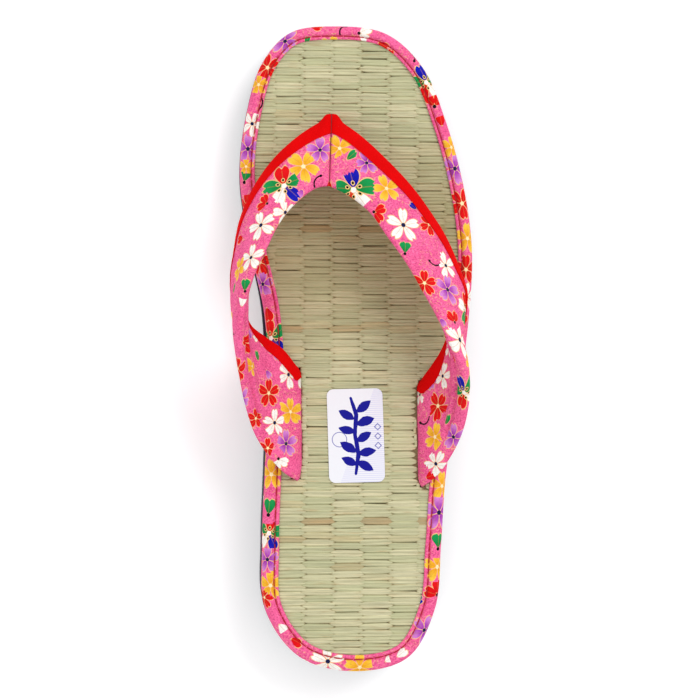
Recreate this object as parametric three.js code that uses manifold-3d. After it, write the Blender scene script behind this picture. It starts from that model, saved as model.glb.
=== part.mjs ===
// Zori sandal for the right foot: a woven rush footbed on a low wedge sole, a padded print binding
// round its edge, and two padded straps that meet in a V over a toe post.
//
// Millimetres. +Y runs to the toe, +X to the outer (little toe) side, +Z up. The tables measure from
// the ground under the middle of the sole.

import * as THREE from 'three';
import { mergeVertices } from 'three/addons/utils/BufferGeometryUtils.js';
import Module from 'manifold-3d';

const wasm = await Module();
wasm.setup();

// ---------------------------------------------------------------- driving sizes

const LENGTH = 250;
const HALF_LENGTH = LENGTH / 2;
const HEEL_HEIGHT = 32;        // top of the footbed at the heel
const BALL_HEIGHT = 21.5;      // top of the footbed at the ball
const TOE_LIFT = 3.6;          // how far the footbed rises again at the toe
const HEEL_SEAT_END = -52;     // the footbed is level behind this
const BALL_START = 34;         // and level again from here to TOE_LIFT_START
const TOE_LIFT_START = 62;

const GROUND_TOE_LIFT = 4.6;   // toe spring under the sole
const GROUND_TOE_START = 74;
const ARCH_RISE = 3.2;         // hollow under the waist
const ARCH_BACK = -44;
const ARCH_FRONT = 13;

const GAP = 0.3;               // between pieces that meet
const BOARD_THICK = 7;         // rush mat and board together
const BOARD_INSET = 2.35;      // board edge, measured in from the outline

const BINDING_WALL = 1.9;      // thickness of the binding beside the board
const HEEL_REACH = 6.4;        // how far the binding covers the footbed at the heel
const TOE_REACH = 5.4;         // and at the toe
const SOLE_INSET = 0.3;
const SOLE_FLARE = 0.2;        // how much narrower the sole is at its lower bevel than at its top
const SOLE_BEVEL = 1.4;        // height of that bevel
const SOLE_BEVEL_IN = 1.2;     // and how far it goes in
const LUG_RIM = 6;             // plain rim round the lugs
const LUG_RIM_SHARE = 0.3;     // or this share of the breadth at the round ends
const LUG_DRAFT = 0.5;
const LUG_DEPTH = 1.5;
const GROOVE_HALF = 1.0;
const GROOVE_CLEAR = 1.5;      // no plain section nearer than this to a groove's edge
const GROOVE_PITCH = 10;
const GROOVE_ROWS = [
  { name: 'heel', first: -107, count: 6 },
  { name: 'ball', first: 18, count: 6 },
];

const PIPING_SLANT = 0.62;     // the least share of the piping's width where it runs slantwise
const PIPING_THICK = 5;        // as the padded strap that it closes
const PIPING_GAP = 0.8;
const SLOT_CLEAR = 0.8;
const PILLOW_POWER = 2.8;      // how square the padded strap's section is
const SEAM_PINCH = 0.3;        // share of the thickness lost at the V seam
const SEAM_REACH = 2.4;        // and how far the pinch spreads to each side

const OUTLINE_STEPS = 112;
const SOLE_STEPS = 34;
const BOARD_STEPS = 56;
const STRAP_STEPS = 2;         // sections between two rows of a strap table
const SEAM_STEPS = [0.5, 0.2]; // extra sections this far before the V seam, in steps

// Plan outline of the sandal, from the toe round the outer side to the heel and back.
const OUTLINE = [
  { at: 'toe', x: -9, y: 125 },
  { at: 'toe', x: 12, y: 122.3 },
  { at: 'little toe', x: 26.5, y: 109.5 },
  { at: 'little toe', x: 36, y: 88 },
  { at: 'outer ball', x: 43, y: 62.5 },
  { at: 'outer ball', x: 46.2, y: 37 },
  { at: 'outer waist', x: 44.4, y: 9 },
  { at: 'outer waist', x: 39.4, y: -21 },
  { at: 'outer heel', x: 34.8, y: -49 },
  { at: 'outer heel', x: 32.9, y: -76 },
  { at: 'outer heel', x: 30.5, y: -101 },
  { at: 'heel', x: 20, y: -119.8 },
  { at: 'heel', x: -0.5, y: -125 },
  { at: 'heel', x: -22, y: -119.3 },
  { at: 'inner heel', x: -35.2, y: -101 },
  { at: 'inner heel', x: -36.4, y: -76 },
  { at: 'inner heel', x: -35.3, y: -46 },
  { at: 'inner waist', x: -33.9, y: -12 },
  { at: 'inner waist', x: -35.4, y: 14 },
  { at: 'inner ball', x: -41, y: 40 },
  { at: 'inner ball', x: -44.8, y: 68 },
  { at: 'big toe', x: -41.7, y: 93.5 },
  { at: 'big toe', x: -36, y: 111 },
  { at: 'toe', x: -25.5, y: 122.3 },
];

// Each strap as rows from its slot to the V. p is the piped front edge and q the plain rear edge;
// h is the height above the footbed, thick the padded thickness, and band the width of the red
// piping square to the front edge.
const INNER_STRAP = [
  { px: -23.3, py: -7.0, ph: -5.0, qx: -23.3, qy: -51.0, qh: -5.0, thick: 3.6, band: 4.4 },
  { px: -23.3, py: -7.0, ph: 1.6, qx: -23.3, qy: -51.0, qh: 1.6, thick: 3.6, band: 4.4 },
  { px: -25.2, py: -4.4, ph: 3.4, qx: -29.2, qy: -47.0, qh: 5.8, thick: 4.2, band: 5.6 },
  { px: -29.0, py: 0.0, ph: 6.2, qx: -38.4, qy: -35.0, qh: 12.0, thick: 4.8, band: 6.2 },
  { px: -35.4, py: 4.2, ph: 8.4, qx: -43.0, qy: -21.5, qh: 20.4, thick: 5.2, band: 6.2 },
  { px: -42.2, py: 9.4, ph: 10.4, qx: -45.0, qy: -8.0, qh: 28.8, thick: 5.4, band: 5.6 },
  { px: -45.6, py: 17.6, ph: 12.0, qx: -45.6, qy: 5.0, qh: 34.4, thick: 5.6, band: 5.0 },
  { px: -46.8, py: 27.0, ph: 13.2, qx: -44.0, qy: 18.0, qh: 37.2, thick: 5.6, band: 4.8 },
  { px: -46.6, py: 36.0, ph: 14.2, qx: -40.2, qy: 29.0, qh: 37.0, thick: 5.4, band: 4.8 },
  { px: -45.6, py: 45.0, ph: 15.2, qx: -35.6, qy: 38.0, qh: 35.4, thick: 5.2, band: 4.8 },
  { px: -43.0, py: 54.0, ph: 16.0, qx: -31.6, qy: 45.8, qh: 33.0, thick: 5.2, band: 5.0 },
  { px: -38.5, py: 63.5, ph: 16.8, qx: -26.8, qy: 52.0, qh: 30.0, thick: 5.0, band: 5.2 },
  { px: -31.5, py: 73.0, ph: 17.3, qx: -21.2, qy: 57.2, qh: 27.0, thick: 5.0, band: 5.2 },
  { px: -22.0, py: 81.6, ph: 17.4, qx: -15.8, qy: 60.6, qh: 24.0, thick: 5.0, band: 5.6 },
];
const OUTER_STRAP = [
  { px: 25.5, py: -12.4, ph: -5.0, qx: 25.5, qy: -53.5, qh: -5.0, thick: 3.4, band: 4.4 },
  { px: 25.5, py: -12.4, ph: 0.9, qx: 25.6, qy: -53.5, qh: 0.9, thick: 3.4, band: 4.4 },
  { px: 26.6, py: -10.2, ph: 3.6, qx: 31.0, qy: -48.4, qh: 6.2, thick: 4.2, band: 6.2 },
  { px: 29.2, py: -6.4, ph: 6.4, qx: 38.0, qy: -35.4, qh: 13.8, thick: 5.0, band: 7.2 },
  { px: 32.4, py: -1.6, ph: 8.6, qx: 40.4, qy: -22.0, qh: 22.8, thick: 5.6, band: 7.2 },
  { px: 35.6, py: 4.4, ph: 10.6, qx: 39.0, qy: -9.5, qh: 30.4, thick: 6.0, band: 6.6 },
  { px: 39.2, py: 12.2, ph: 12.4, qx: 33.8, qy: 1.6, qh: 34.4, thick: 6.0, band: 5.6 },
  { px: 41.6, py: 21.5, ph: 13.8, qx: 28.8, qy: 11.6, qh: 34.6, thick: 5.6, band: 5.0 },
  { px: 38.6, py: 31.4, ph: 15.0, qx: 23.2, qy: 21.8, qh: 33.2, thick: 5.4, band: 5.2 },
  { px: 33.9, py: 42.2, ph: 16.0, qx: 17.3, qy: 32.2, qh: 31.0, thick: 5.2, band: 5.6 },
  { px: 27.8, py: 52.0, ph: 16.8, qx: 10.4, qy: 42.0, qh: 29.0, thick: 5.2, band: 6.0 },
  { px: 20.2, py: 62.2, ph: 17.2, qx: 4.0, qy: 51.0, qh: 27.0, thick: 5.0, band: 6.2 },
  { px: 11.4, py: 71.6, ph: 17.4, qx: -2.6, qy: 56.6, qh: 24.8, thick: 5.0, band: 6.3 },
  { px: 1.0, py: 81.2, ph: 17.2, qx: -7.6, qy: 59.6, qh: 23.0, thick: 5.0, band: 6.3 },
];
const V_SEAM = {
  px: -10.2, py: 88.8, ph: 17.0, qx: -11.4, qy: 61.4, qh: 22.0, thick: 5.0, band: 6.2,
};

// Toe post as rows from its foot in the board to its head under the V.
const POST_ROWS = [
  { h: -5.5, y: 82.4, halfWide: 3.4, halfLong: 5.2 },
  { h: 1.0, y: 82.4, halfWide: 3.6, halfLong: 5.4 },
  { h: 8.0, y: 82.4, halfWide: 4.2, halfLong: 5.6 },
  { h: 15.7, y: 82.5, halfWide: 5.0, halfLong: 5.9 },
];
const POST_X = -10;
const POST_SIDES = 20;

// ---------------------------------------------------------------- plain helpers

const lerp = THREE.MathUtils.lerp;
const smoothstep = THREE.MathUtils.smoothstep;

// Height of the footbed's top face over the ground at a station along the sandal.
function footbedAt(y) {
  const wedge = lerp(HEEL_HEIGHT, BALL_HEIGHT, smoothstep(y, HEEL_SEAT_END, BALL_START));
  const toe = Math.max(0, (y - TOE_LIFT_START) / (HALF_LENGTH - TOE_LIFT_START));
  return wedge + TOE_LIFT * toe * toe;
}

// Height of the sole's lower face over the ground, before any groove.
function groundAt(y) {
  if (y > GROUND_TOE_START) {
    const toe = (y - GROUND_TOE_START) / (HALF_LENGTH - GROUND_TOE_START);
    return GROUND_TOE_LIFT * toe * toe;
  }
  if (y > ARCH_BACK && y < ARCH_FRONT) {
    const along = (y - ARCH_BACK) / (ARCH_FRONT - ARCH_BACK);
    return ARCH_RISE * Math.sin(Math.PI * along) ** 2;
  }
  return 0;
}

// A geometry from points and triangles, with its faces turned outwards.
function solid(points, triangles) {
  let volume = 0;
  for (const [a, b, c] of triangles) {
    volume += points[a].dot(new THREE.Vector3().crossVectors(points[b], points[c]));
  }
  const turned = volume < 0 ? triangles.map(([a, b, c]) => [a, c, b]) : triangles;
  const geometry = new THREE.BufferGeometry().setFromPoints(points);
  geometry.setIndex(turned.flat());
  geometry.computeVertexNormals();
  return geometry;
}

// Joins rings of equal length into a skin. A ring-shaped piece closes on its first ring; any other
// has a fan over each end.
function loft(rings, { closed = false } = {}) {
  const size = rings[0].length;
  const points = rings.flat();
  const triangles = [];
  const spans = closed ? rings.length : rings.length - 1;
  for (let i = 0; i < spans; i += 1) {
    const here = i * size;
    const next = ((i + 1) % rings.length) * size;
    for (let k = 0; k < size; k += 1) {
      const after = (k + 1) % size;
      triangles.push([here + k, next + k, next + after], [here + k, next + after, here + after]);
    }
  }
  if (!closed) {
    addCap(points, triangles, rings[0], 0, true);
    addCap(points, triangles, rings.at(-1), (rings.length - 1) * size, false);
  }
  return solid(points, triangles);
}

function addCap(points, triangles, ring, first, isStart) {
  const middle = new THREE.Vector3();
  for (const point of ring) middle.add(point);
  const centre = points.length;
  points.push(middle.divideScalar(ring.length));
  for (let k = 0; k < ring.length; k += 1) {
    const after = (k + 1) % ring.length;
    if (isStart) triangles.push([centre, first + k, first + after]);
    else triangles.push([centre, first + after, first + k]);
  }
}

function toManifold(geometry) {
  const bare = geometry.clone();
  bare.deleteAttribute('normal');
  const merged = mergeVertices(bare, 1e-4);
  return new wasm.Manifold(new wasm.Mesh({
    numProp: 3,
    vertProperties: new Float32Array(merged.attributes.position.array),
    triVerts: new Uint32Array(merged.index.array),
  }));
}

function cut(geometry, tools) {
  let left = toManifold(geometry);
  for (const tool of tools) left = left.subtract(toManifold(tool));
  const mesh = left.getMesh();
  const result = new THREE.BufferGeometry();
  result.setAttribute('position', new THREE.BufferAttribute(mesh.vertProperties, 3));
  result.setIndex(new THREE.BufferAttribute(mesh.triVerts, 1));
  result.computeVertexNormals();
  return result;
}

// ---------------------------------------------------------------- outline

const OUTLINE_CURVE = new THREE.CatmullRomCurve3(
  OUTLINE.map(({ x, y }) => new THREE.Vector3(x, y, 0)), true, 'centripetal',
);

// Points of the outline moved inwards, with the outward direction at each.
function outlineRing(inset, steps) {
  const ring = [];
  for (let i = 0; i < steps; i += 1) {
    const at = OUTLINE_CURVE.getPointAt(i / steps);
    const along = OUTLINE_CURVE.getTangentAt(i / steps);
    const out = new THREE.Vector3(-along.y, along.x, 0);
    ring.push({ x: at.x - out.x * inset, y: at.y - out.y * inset, out });
  }
  return ring;
}

// The inner and outer x of an inset outline, and its y, at a share of its length from -1 to 1.
function breadthReader(inset) {
  const ring = outlineRing(inset, OUTLINE_STEPS * 4);
  const ys = ring.map(({ y }) => y);
  const low = Math.min(...ys);
  const high = Math.max(...ys);
  return (share) => {
    const y = lerp(low, high, (share + 1) / 2);
    const crossings = [];
    ring.forEach((a, i) => {
      const b = ring[(i + 1) % ring.length];
      if ((a.y > y) !== (b.y > y)) crossings.push(lerp(a.x, b.x, (y - a.y) / (b.y - a.y)));
    });
    return { y, inner: Math.min(...crossings), outer: Math.max(...crossings) };
  };
}

// Stations from heel to toe as shares of the length, closer together at the round ends.
function stations(count) {
  const almost = 0.9994;
  return Array.from({ length: count + 1 }, (_, i) => (
    almost * Math.sin((Math.PI / 2) * ((2 * i) / count - 1))
  ));
}

// ---------------------------------------------------------------- outsole

// Groove edges as { y, deep }: the sole steps up by the lug depth where deep is true.
function grooveEdges() {
  return GROOVE_ROWS.flatMap(({ first, count }) => (
    Array.from({ length: count }, (_, i) => first + i * GROOVE_PITCH)
  )).flatMap((centre) => [
    { y: centre - GROOVE_HALF, deep: false },
    { y: centre - GROOVE_HALF + LUG_DRAFT, deep: true },
    { y: centre + GROOVE_HALF - LUG_DRAFT, deep: true },
    { y: centre + GROOVE_HALF, deep: false },
  ]);
}

function outsole() {
  const foot = breadthReader(SOLE_INSET + SOLE_FLARE + SOLE_BEVEL_IN);
  const wall = breadthReader(SOLE_INSET + SOLE_FLARE);
  const rim = breadthReader(SOLE_INSET);
  const low = foot(-1).y;
  const half = (foot(1).y - low) / 2;
  const edges = grooveEdges().map(({ y, deep }) => ({ share: (y - low) / half - 1, deep }));
  const plain = stations(SOLE_STEPS)
    .filter((share) => edges.every((edge) => Math.abs(edge.share - share) * half > GROOVE_CLEAR))
    .map((share) => ({ share, deep: false }));
  const rows = [...plain, ...edges].sort((a, b) => a.share - b.share);

  const rings = rows.map(({ share, deep }) => {
    const tread = foot(share);
    const lift = groundAt(tread.y);
    const lug = Math.min(LUG_RIM, (tread.outer - tread.inner) * LUG_RIM_SHARE);
    const under = (x, height) => new THREE.Vector3(x, tread.y, height);
    const side = (reader, edge, height) => {
      const at = reader(share);
      return new THREE.Vector3(at[edge], at.y, height(at.y));
    };
    const floor = lift + (deep ? LUG_DEPTH : 0);
    const bevel = (y) => groundAt(y) + SOLE_BEVEL;
    const top = (y) => footbedAt(y) - BOARD_THICK - GAP;
    return [
      under(tread.inner, lift),
      under(tread.inner + lug, lift),
      under(tread.inner + lug + LUG_DRAFT, floor),
      under(tread.outer - lug - LUG_DRAFT, floor),
      under(tread.outer - lug, lift),
      under(tread.outer, lift),
      side(wall, 'outer', bevel),
      side(rim, 'outer', top),
      side(rim, 'inner', top),
      side(wall, 'inner', bevel),
    ];
  });
  return loft(rings);
}

// ---------------------------------------------------------------- insole board

function slotTool(strap) {
  const { px, py, qy, thick } = strap[0];
  const wide = thick + 2 * SLOT_CLEAR;
  const long = py - qy + 2 * SLOT_CLEAR;
  const tool = new THREE.BoxGeometry(wide, long, HEEL_HEIGHT);
  tool.deleteAttribute('uv');
  return tool.translate(px, (py + qy) / 2, HEEL_HEIGHT);
}

function postRing({ h, y, halfWide, halfLong }, grow = 0) {
  const height = footbedAt(y) + h;
  return Array.from({ length: POST_SIDES }, (_, i) => {
    const turn = (2 * Math.PI * i) / POST_SIDES;
    return new THREE.Vector3(
      POST_X + (halfWide + grow) * Math.cos(turn), y + (halfLong + grow) * Math.sin(turn), height,
    );
  });
}

function insole() {
  const board = breadthReader(BOARD_INSET);
  const rings = stations(BOARD_STEPS).map((share) => {
    const { y, inner, outer } = board(share);
    const top = footbedAt(y);
    return [
      new THREE.Vector3(inner, y, top - BOARD_THICK),
      new THREE.Vector3(outer, y, top - BOARD_THICK),
      new THREE.Vector3(outer, y, top),
      new THREE.Vector3(inner, y, top),
    ];
  });
  const hole = { ...POST_ROWS[1] };
  const postTool = loft([
    postRing({ ...hole, h: -2 * BOARD_THICK }, SLOT_CLEAR),
    postRing({ ...hole, h: BOARD_THICK }, SLOT_CLEAR),
  ]);
  return cut(loft(rings), [slotTool(INNER_STRAP), slotTool(OUTER_STRAP), postTool]);
}

// ---------------------------------------------------------------- edge binding

// Section of the binding. over is the share of its reach over the board, and up the height over the
// footbed's top face; where over is missing, out is the distance in from the outline.
const BINDING_SECTION = [
  { out: BINDING_WALL, up: -BOARD_THICK },
  { out: 0.7, up: -BOARD_THICK },
  { out: 0.1, up: -5.4 },
  { out: 0.0, up: -3.0 },
  { out: 0.3, up: -0.8 },
  { out: 1.1, up: 0.8 },
  { over: 0.12, up: 1.7 },
  { over: 0.44, up: 1.5 },
  { over: 0.62, up: 0.9 },
  { over: 0.8, up: 1.2 },
  { over: 1, up: 0.9 },
  { over: 1, up: GAP },
  { out: BINDING_WALL, up: GAP },
];

function edgeBinding() {
  const ring = outlineRing(0, OUTLINE_STEPS);
  const rings = ring.map(({ x, y, out }) => {
    const reach = lerp(HEEL_REACH, TOE_REACH, (y + HALF_LENGTH) / LENGTH);
    return BINDING_SECTION.map((corner) => {
      const inset = corner.out ?? lerp(BINDING_WALL, reach, corner.over);
      const py = y - out.y * inset;
      return new THREE.Vector3(x - out.x * inset, py, footbedAt(py) + corner.up);
    });
  });
  return loft(rings, { closed: true });
}

// ---------------------------------------------------------------- straps and piping

// A smooth run of sections through the rows of one strap and the V seam.
function strapSections(rows) {
  const all = [...rows, V_SEAM];
  const edge = (x, y, h) => new THREE.CatmullRomCurve3(
    all.map((row) => new THREE.Vector3(row[x], row[y], footbedAt(row[y]) + row[h])),
  );
  const front = edge('px', 'py', 'ph');
  const rear = edge('qx', 'qy', 'qh');
  const count = (all.length - 1) * STRAP_STEPS;
  const shares = Array.from({ length: count + 1 }, (_, i) => i / count);
  shares.splice(count, 0, ...SEAM_STEPS.map((before) => (count - before) / count));
  return shares.map((share) => {
    const row = share * (all.length - 1);
    const below = Math.min(Math.floor(row), all.length - 2);
    const p = front.getPoint(share);
    const q = rear.getPoint(share);
    const across = q.clone().sub(p).normalize();
    const slant = across.cross(front.getTangent(share)).length();
    const blend = (key) => lerp(all[below][key], all[below + 1][key], row - below);
    return { p, q, thick: blend('thick'), band: blend('band') / Math.max(slant, PIPING_SLANT) };
  });
}

// Both straps as one run from the inner slot through the V to the outer slot, each section with its
// middle, its direction across the strap and its outward normal.
function upperRun() {
  const inner = strapSections(INNER_STRAP);
  const outer = strapSections(OUTER_STRAP).reverse();
  const run = [...inner, ...outer.slice(1)];
  const seam = inner.length - 1;
  const middles = run.map(({ p, q }) => p.clone().lerp(q, 0.5));
  return run.map((section, i) => {
    const along = middles[Math.min(i + 1, run.length - 1)].clone()
      .sub(middles[Math.max(i - 1, 0)]).normalize();
    const across = section.q.clone().sub(section.p);
    const width = across.length();
    across.divideScalar(width);
    const normal = new THREE.Vector3().crossVectors(across, along).normalize();
    const away = middles[i].distanceTo(middles[seam]) / SEAM_REACH;
    const pinch = 1 - SEAM_PINCH * Math.exp(-away * away);
    return { ...section, across, width, normal, pinch };
  });
}

// Half thickness of the padded strap at a share of its width from 0 to 1.
function pillow(share) {
  return Math.sqrt(Math.max(0, 1 - Math.abs(2 * share - 1) ** PILLOW_POWER)) / 2;
}

function sectionRing(section, stops, thick) {
  const { p, across, width, normal, pinch } = section;
  const point = (reach, side) => p.clone()
    .addScaledVector(across, reach)
    .addScaledVector(normal, side * pinch * thick * pillow(reach / width));
  const sides = stops.filter((reach) => pillow(reach / width) > 0);
  const top = sides.map((reach) => point(reach, 1));
  const bottom = sides.map((reach) => point(reach, -1)).reverse();
  const tips = stops.filter((reach) => pillow(reach / width) === 0).map((reach) => point(reach, 0));
  return { top, bottom, tips };
}

function hanaoStrap() {
  const shares = [0, 0.12, 0.27, 0.45, 0.63, 0.79, 0.91, 0.975, 1];
  const rings = upperRun().map((section) => {
    const start = section.band + PIPING_GAP;
    const stops = shares.map((share) => lerp(start, section.width, share));
    const { top, bottom, tips } = sectionRing(section, stops, section.thick);
    return [...top, ...tips, ...bottom];
  });
  return loft(rings);
}

function strapPiping() {
  const shares = [0, 0.1, 0.35, 0.68, 1];
  const rings = upperRun().map((section) => {
    const stops = shares.map((share) => share * section.band);
    const { top, bottom, tips } = sectionRing(section, stops, PIPING_THICK);
    return [...tips, ...top, ...bottom];
  });
  return loft(rings);
}

// ---------------------------------------------------------------- toe post

function toePost() {
  return loft(POST_ROWS.map((row) => postRing(row)));
}

// ---------------------------------------------------------------- assembly

function finish(color, roughness) {
  return new THREE.MeshStandardMaterial({ color, roughness, metalness: 0 });
}

const FOAM_RUBBER = finish(0x1d2238, 0.75);
const RUSH = finish(0xb9b184, 0.7);
const PRINT_CLOTH = finish(0xec5f96, 0.85);
const RED_CLOTH = finish(0xe01616, 0.8);

const PIECES = [
  { name: 'outsole', build: outsole, material: FOAM_RUBBER },
  { name: 'insole', build: insole, material: RUSH },
  { name: 'edge_binding', build: edgeBinding, material: PRINT_CLOTH },
  { name: 'hanao_strap', build: hanaoStrap, material: PRINT_CLOTH },
  { name: 'strap_piping', build: strapPiping, material: RED_CLOTH },
  { name: 'toe_post', build: toePost, material: PRINT_CLOTH },
];

const sandal = new THREE.Group();
for (const { name, build, material } of PIECES) {
  const mesh = new THREE.Mesh(build(), material);
  mesh.name = name;
  sandal.add(mesh);
}

// The origin is under the middle of the finished sandal's box.
const box = new THREE.Box3().setFromObject(sandal);
const middle = box.getCenter(new THREE.Vector3());
sandal.position.set(-middle.x, -middle.y, -box.min.z);

export default sandal;
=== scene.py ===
"""Looks of a right-foot zori sandal: rush footbed, padded print binding and straps, foam sole."""

import functools
import logging
import math
import operator
import random
from collections.abc import Callable
from dataclasses import dataclass, field
from enum import Enum, IntEnum

import bpy
import numpy as np
from mathutils import Matrix, Vector, noise


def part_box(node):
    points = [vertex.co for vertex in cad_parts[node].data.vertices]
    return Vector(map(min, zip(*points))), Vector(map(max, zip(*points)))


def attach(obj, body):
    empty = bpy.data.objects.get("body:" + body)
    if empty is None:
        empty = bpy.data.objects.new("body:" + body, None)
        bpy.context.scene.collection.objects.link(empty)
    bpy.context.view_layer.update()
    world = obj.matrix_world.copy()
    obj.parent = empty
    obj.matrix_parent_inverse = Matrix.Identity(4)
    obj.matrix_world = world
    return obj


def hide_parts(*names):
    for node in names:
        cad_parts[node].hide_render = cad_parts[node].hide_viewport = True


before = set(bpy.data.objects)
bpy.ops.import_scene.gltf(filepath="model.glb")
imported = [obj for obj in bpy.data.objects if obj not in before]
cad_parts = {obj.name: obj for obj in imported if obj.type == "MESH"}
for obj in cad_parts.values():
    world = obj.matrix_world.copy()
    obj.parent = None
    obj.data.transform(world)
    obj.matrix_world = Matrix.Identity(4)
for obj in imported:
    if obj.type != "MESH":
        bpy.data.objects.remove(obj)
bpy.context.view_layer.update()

Array = np.ndarray
Piece = bpy.types.Object
Material = bpy.types.Material
Socket = bpy.types.NodeSocket
Number = float | int
Colour = tuple[float, float, float]

LOG = logging.getLogger("zori")
MM = 0.001
TINY = 1e-6
ROOT = "root"
CLOTH_MAP = "Cloth"
MOTIF_MAP = "Motif"
MOTIF_FORM = "motif_form"
STEM_TONE_AND_SHADE = "stem_tone_and_shade"

# ---- sizes shared by the pieces, in mm

HALF_LENGTH = 125.0
HEEL_HEIGHT = 32.0
BALL_HEIGHT = 21.5
TOE_LIFT = 3.6
HEEL_SEAT_END = -52.0
BALL_START = 34.0
TOE_LIFT_START = 62.0
GROUND_TOE_LIFT = 4.6
GROUND_TOE_START = 74.0
ARCH_RISE = 3.2
ARCH_BACK = -44.0
ARCH_FRONT = 13.0
BOARD_THICK = 7.0
BOARD_INSET = 2.35
PIECE_GAP = 0.3
PILLOW_POWER = 2.8
SLOT_POWER = 6.0

# Plan outline, from the toe round the outer side to the heel and back up the inner side.
OUTLINE_POINTS = (
    (-9, 125), (12, 122.3), (26.5, 109.5), (36, 88), (43, 62.5), (46.2, 37), (44.4, 9), (39.4, -21),
    (34.8, -49), (32.9, -76), (30.5, -101), (20, -119.8), (-0.5, -125), (-22, -119.3),
    (-35.2, -101), (-36.4, -76), (-35.3, -46), (-33.9, -12), (-35.4, 14), (-41, 40), (-44.8, 68),
    (-41.7, 93.5), (-36, 111), (-25.5, 122.3),
)


@dataclass(frozen=True)
class StrapRow:
    """One section of a strap, in mm.

    p is the piped front edge, q the plain rear edge, each with its height above the footbed, and
    band the piping's width square to the front edge.
    """

    px: float
    py: float
    ph: float
    qx: float
    qy: float
    qh: float
    thick: float
    band: float


INNER_STRAP = (
    StrapRow(-23.3, -7.0, -5.0, -23.3, -51.0, -5.0, 3.6, 4.4),
    StrapRow(-23.3, -7.0, 1.6, -23.3, -51.0, 1.6, 3.6, 4.4),
    StrapRow(-25.2, -4.4, 3.4, -29.2, -47.0, 5.8, 4.2, 5.6),
    StrapRow(-29.0, 0.0, 6.2, -38.4, -35.0, 12.0, 4.8, 6.2),
    StrapRow(-35.4, 4.2, 8.4, -43.0, -21.5, 20.4, 5.2, 6.2),
    StrapRow(-42.2, 9.4, 10.4, -45.0, -8.0, 28.8, 5.4, 5.6),
    StrapRow(-45.6, 17.6, 12.0, -45.6, 5.0, 34.4, 5.6, 5.0),
    StrapRow(-46.8, 27.0, 13.2, -44.0, 18.0, 37.2, 5.6, 4.8),
    StrapRow(-46.6, 36.0, 14.2, -40.2, 29.0, 37.0, 5.4, 4.8),
    StrapRow(-45.6, 45.0, 15.2, -35.6, 38.0, 35.4, 5.2, 4.8),
    StrapRow(-43.0, 54.0, 16.0, -31.6, 45.8, 33.0, 5.2, 5.0),
    StrapRow(-38.5, 63.5, 16.8, -26.8, 52.0, 30.0, 5.0, 5.2),
    StrapRow(-31.5, 73.0, 17.3, -21.2, 57.2, 27.0, 5.0, 5.2),
    StrapRow(-22.0, 81.6, 17.4, -15.8, 60.6, 24.0, 5.0, 5.6),
)
OUTER_STRAP = (
    StrapRow(25.5, -12.4, -5.0, 25.5, -53.5, -5.0, 3.4, 4.4),
    StrapRow(25.5, -12.4, 0.9, 25.6, -53.5, 0.9, 3.4, 4.4),
    StrapRow(26.6, -10.2, 3.6, 31.0, -48.4, 6.2, 4.2, 6.2),
    StrapRow(29.2, -6.4, 6.4, 38.0, -35.4, 13.8, 5.0, 7.2),
    StrapRow(32.4, -1.6, 8.6, 40.4, -22.0, 22.8, 5.6, 7.2),
    StrapRow(35.6, 4.4, 10.6, 39.0, -9.5, 30.4, 6.0, 6.6),
    StrapRow(39.2, 12.2, 12.4, 33.8, 1.6, 34.4, 6.0, 5.6),
    StrapRow(41.6, 21.5, 13.8, 28.8, 11.6, 34.6, 5.6, 5.0),
    StrapRow(38.6, 31.4, 15.0, 23.2, 21.8, 33.2, 5.4, 5.2),
    StrapRow(33.9, 42.2, 16.0, 17.3, 32.2, 31.0, 5.2, 5.6),
    StrapRow(27.8, 52.0, 16.8, 10.4, 42.0, 29.0, 5.2, 6.0),
    StrapRow(20.2, 62.2, 17.2, 4.0, 51.0, 27.0, 5.0, 6.2),
    StrapRow(11.4, 71.6, 17.4, -2.6, 56.6, 24.8, 5.0, 6.3),
    StrapRow(1.0, 81.2, 17.2, -7.6, 59.6, 23.0, 5.0, 6.3),
)
V_SEAM = StrapRow(-10.2, 88.8, 17.0, -11.4, 61.4, 22.0, 5.0, 6.2)


def smoothstep(value: Array, low: float, high: float) -> Array:
    """Soft step from 0 at low to 1 at high."""
    share = np.clip((np.asarray(value, float) - low) / (high - low), 0.0, 1.0)
    return share * share * (3.0 - 2.0 * share)


def bell(value: Array, centre: float, reach: float) -> Array:
    """Bell curve of height 1 round centre."""
    return np.exp(-(((np.asarray(value, float) - centre) / reach) ** 2))


def unit(vectors: Array) -> Array:
    """The same directions at length 1."""
    return vectors / np.linalg.norm(vectors, axis=-1, keepdims=True)


def travelled(points: Array) -> Array:
    """Length gone along rows of points, from 0 at the first."""
    return np.concatenate([[0], np.cumsum(np.linalg.norm(np.diff(points, axis=0), axis=1))])


def footbed_height(y: Array) -> Array:
    """Height of the footbed over the ground at stations y, in mm."""
    wedge = HEEL_HEIGHT + (BALL_HEIGHT - HEEL_HEIGHT) * smoothstep(y, HEEL_SEAT_END, BALL_START)
    toe = np.clip((np.asarray(y, float) - TOE_LIFT_START) / (HALF_LENGTH - TOE_LIFT_START), 0, None)
    return wedge + TOE_LIFT * toe**2


def ground_height(y: Array) -> Array:
    """Height of the sole's lower face over the ground at stations y, in mm."""
    y = np.asarray(y, float)
    toe = np.clip((y - GROUND_TOE_START) / (HALF_LENGTH - GROUND_TOE_START), 0, None)
    along = np.clip((y - ARCH_BACK) / (ARCH_FRONT - ARCH_BACK), 0, 1)
    return GROUND_TOE_LIFT * toe**2 + ARCH_RISE * np.sin(np.pi * along) ** 2


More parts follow.
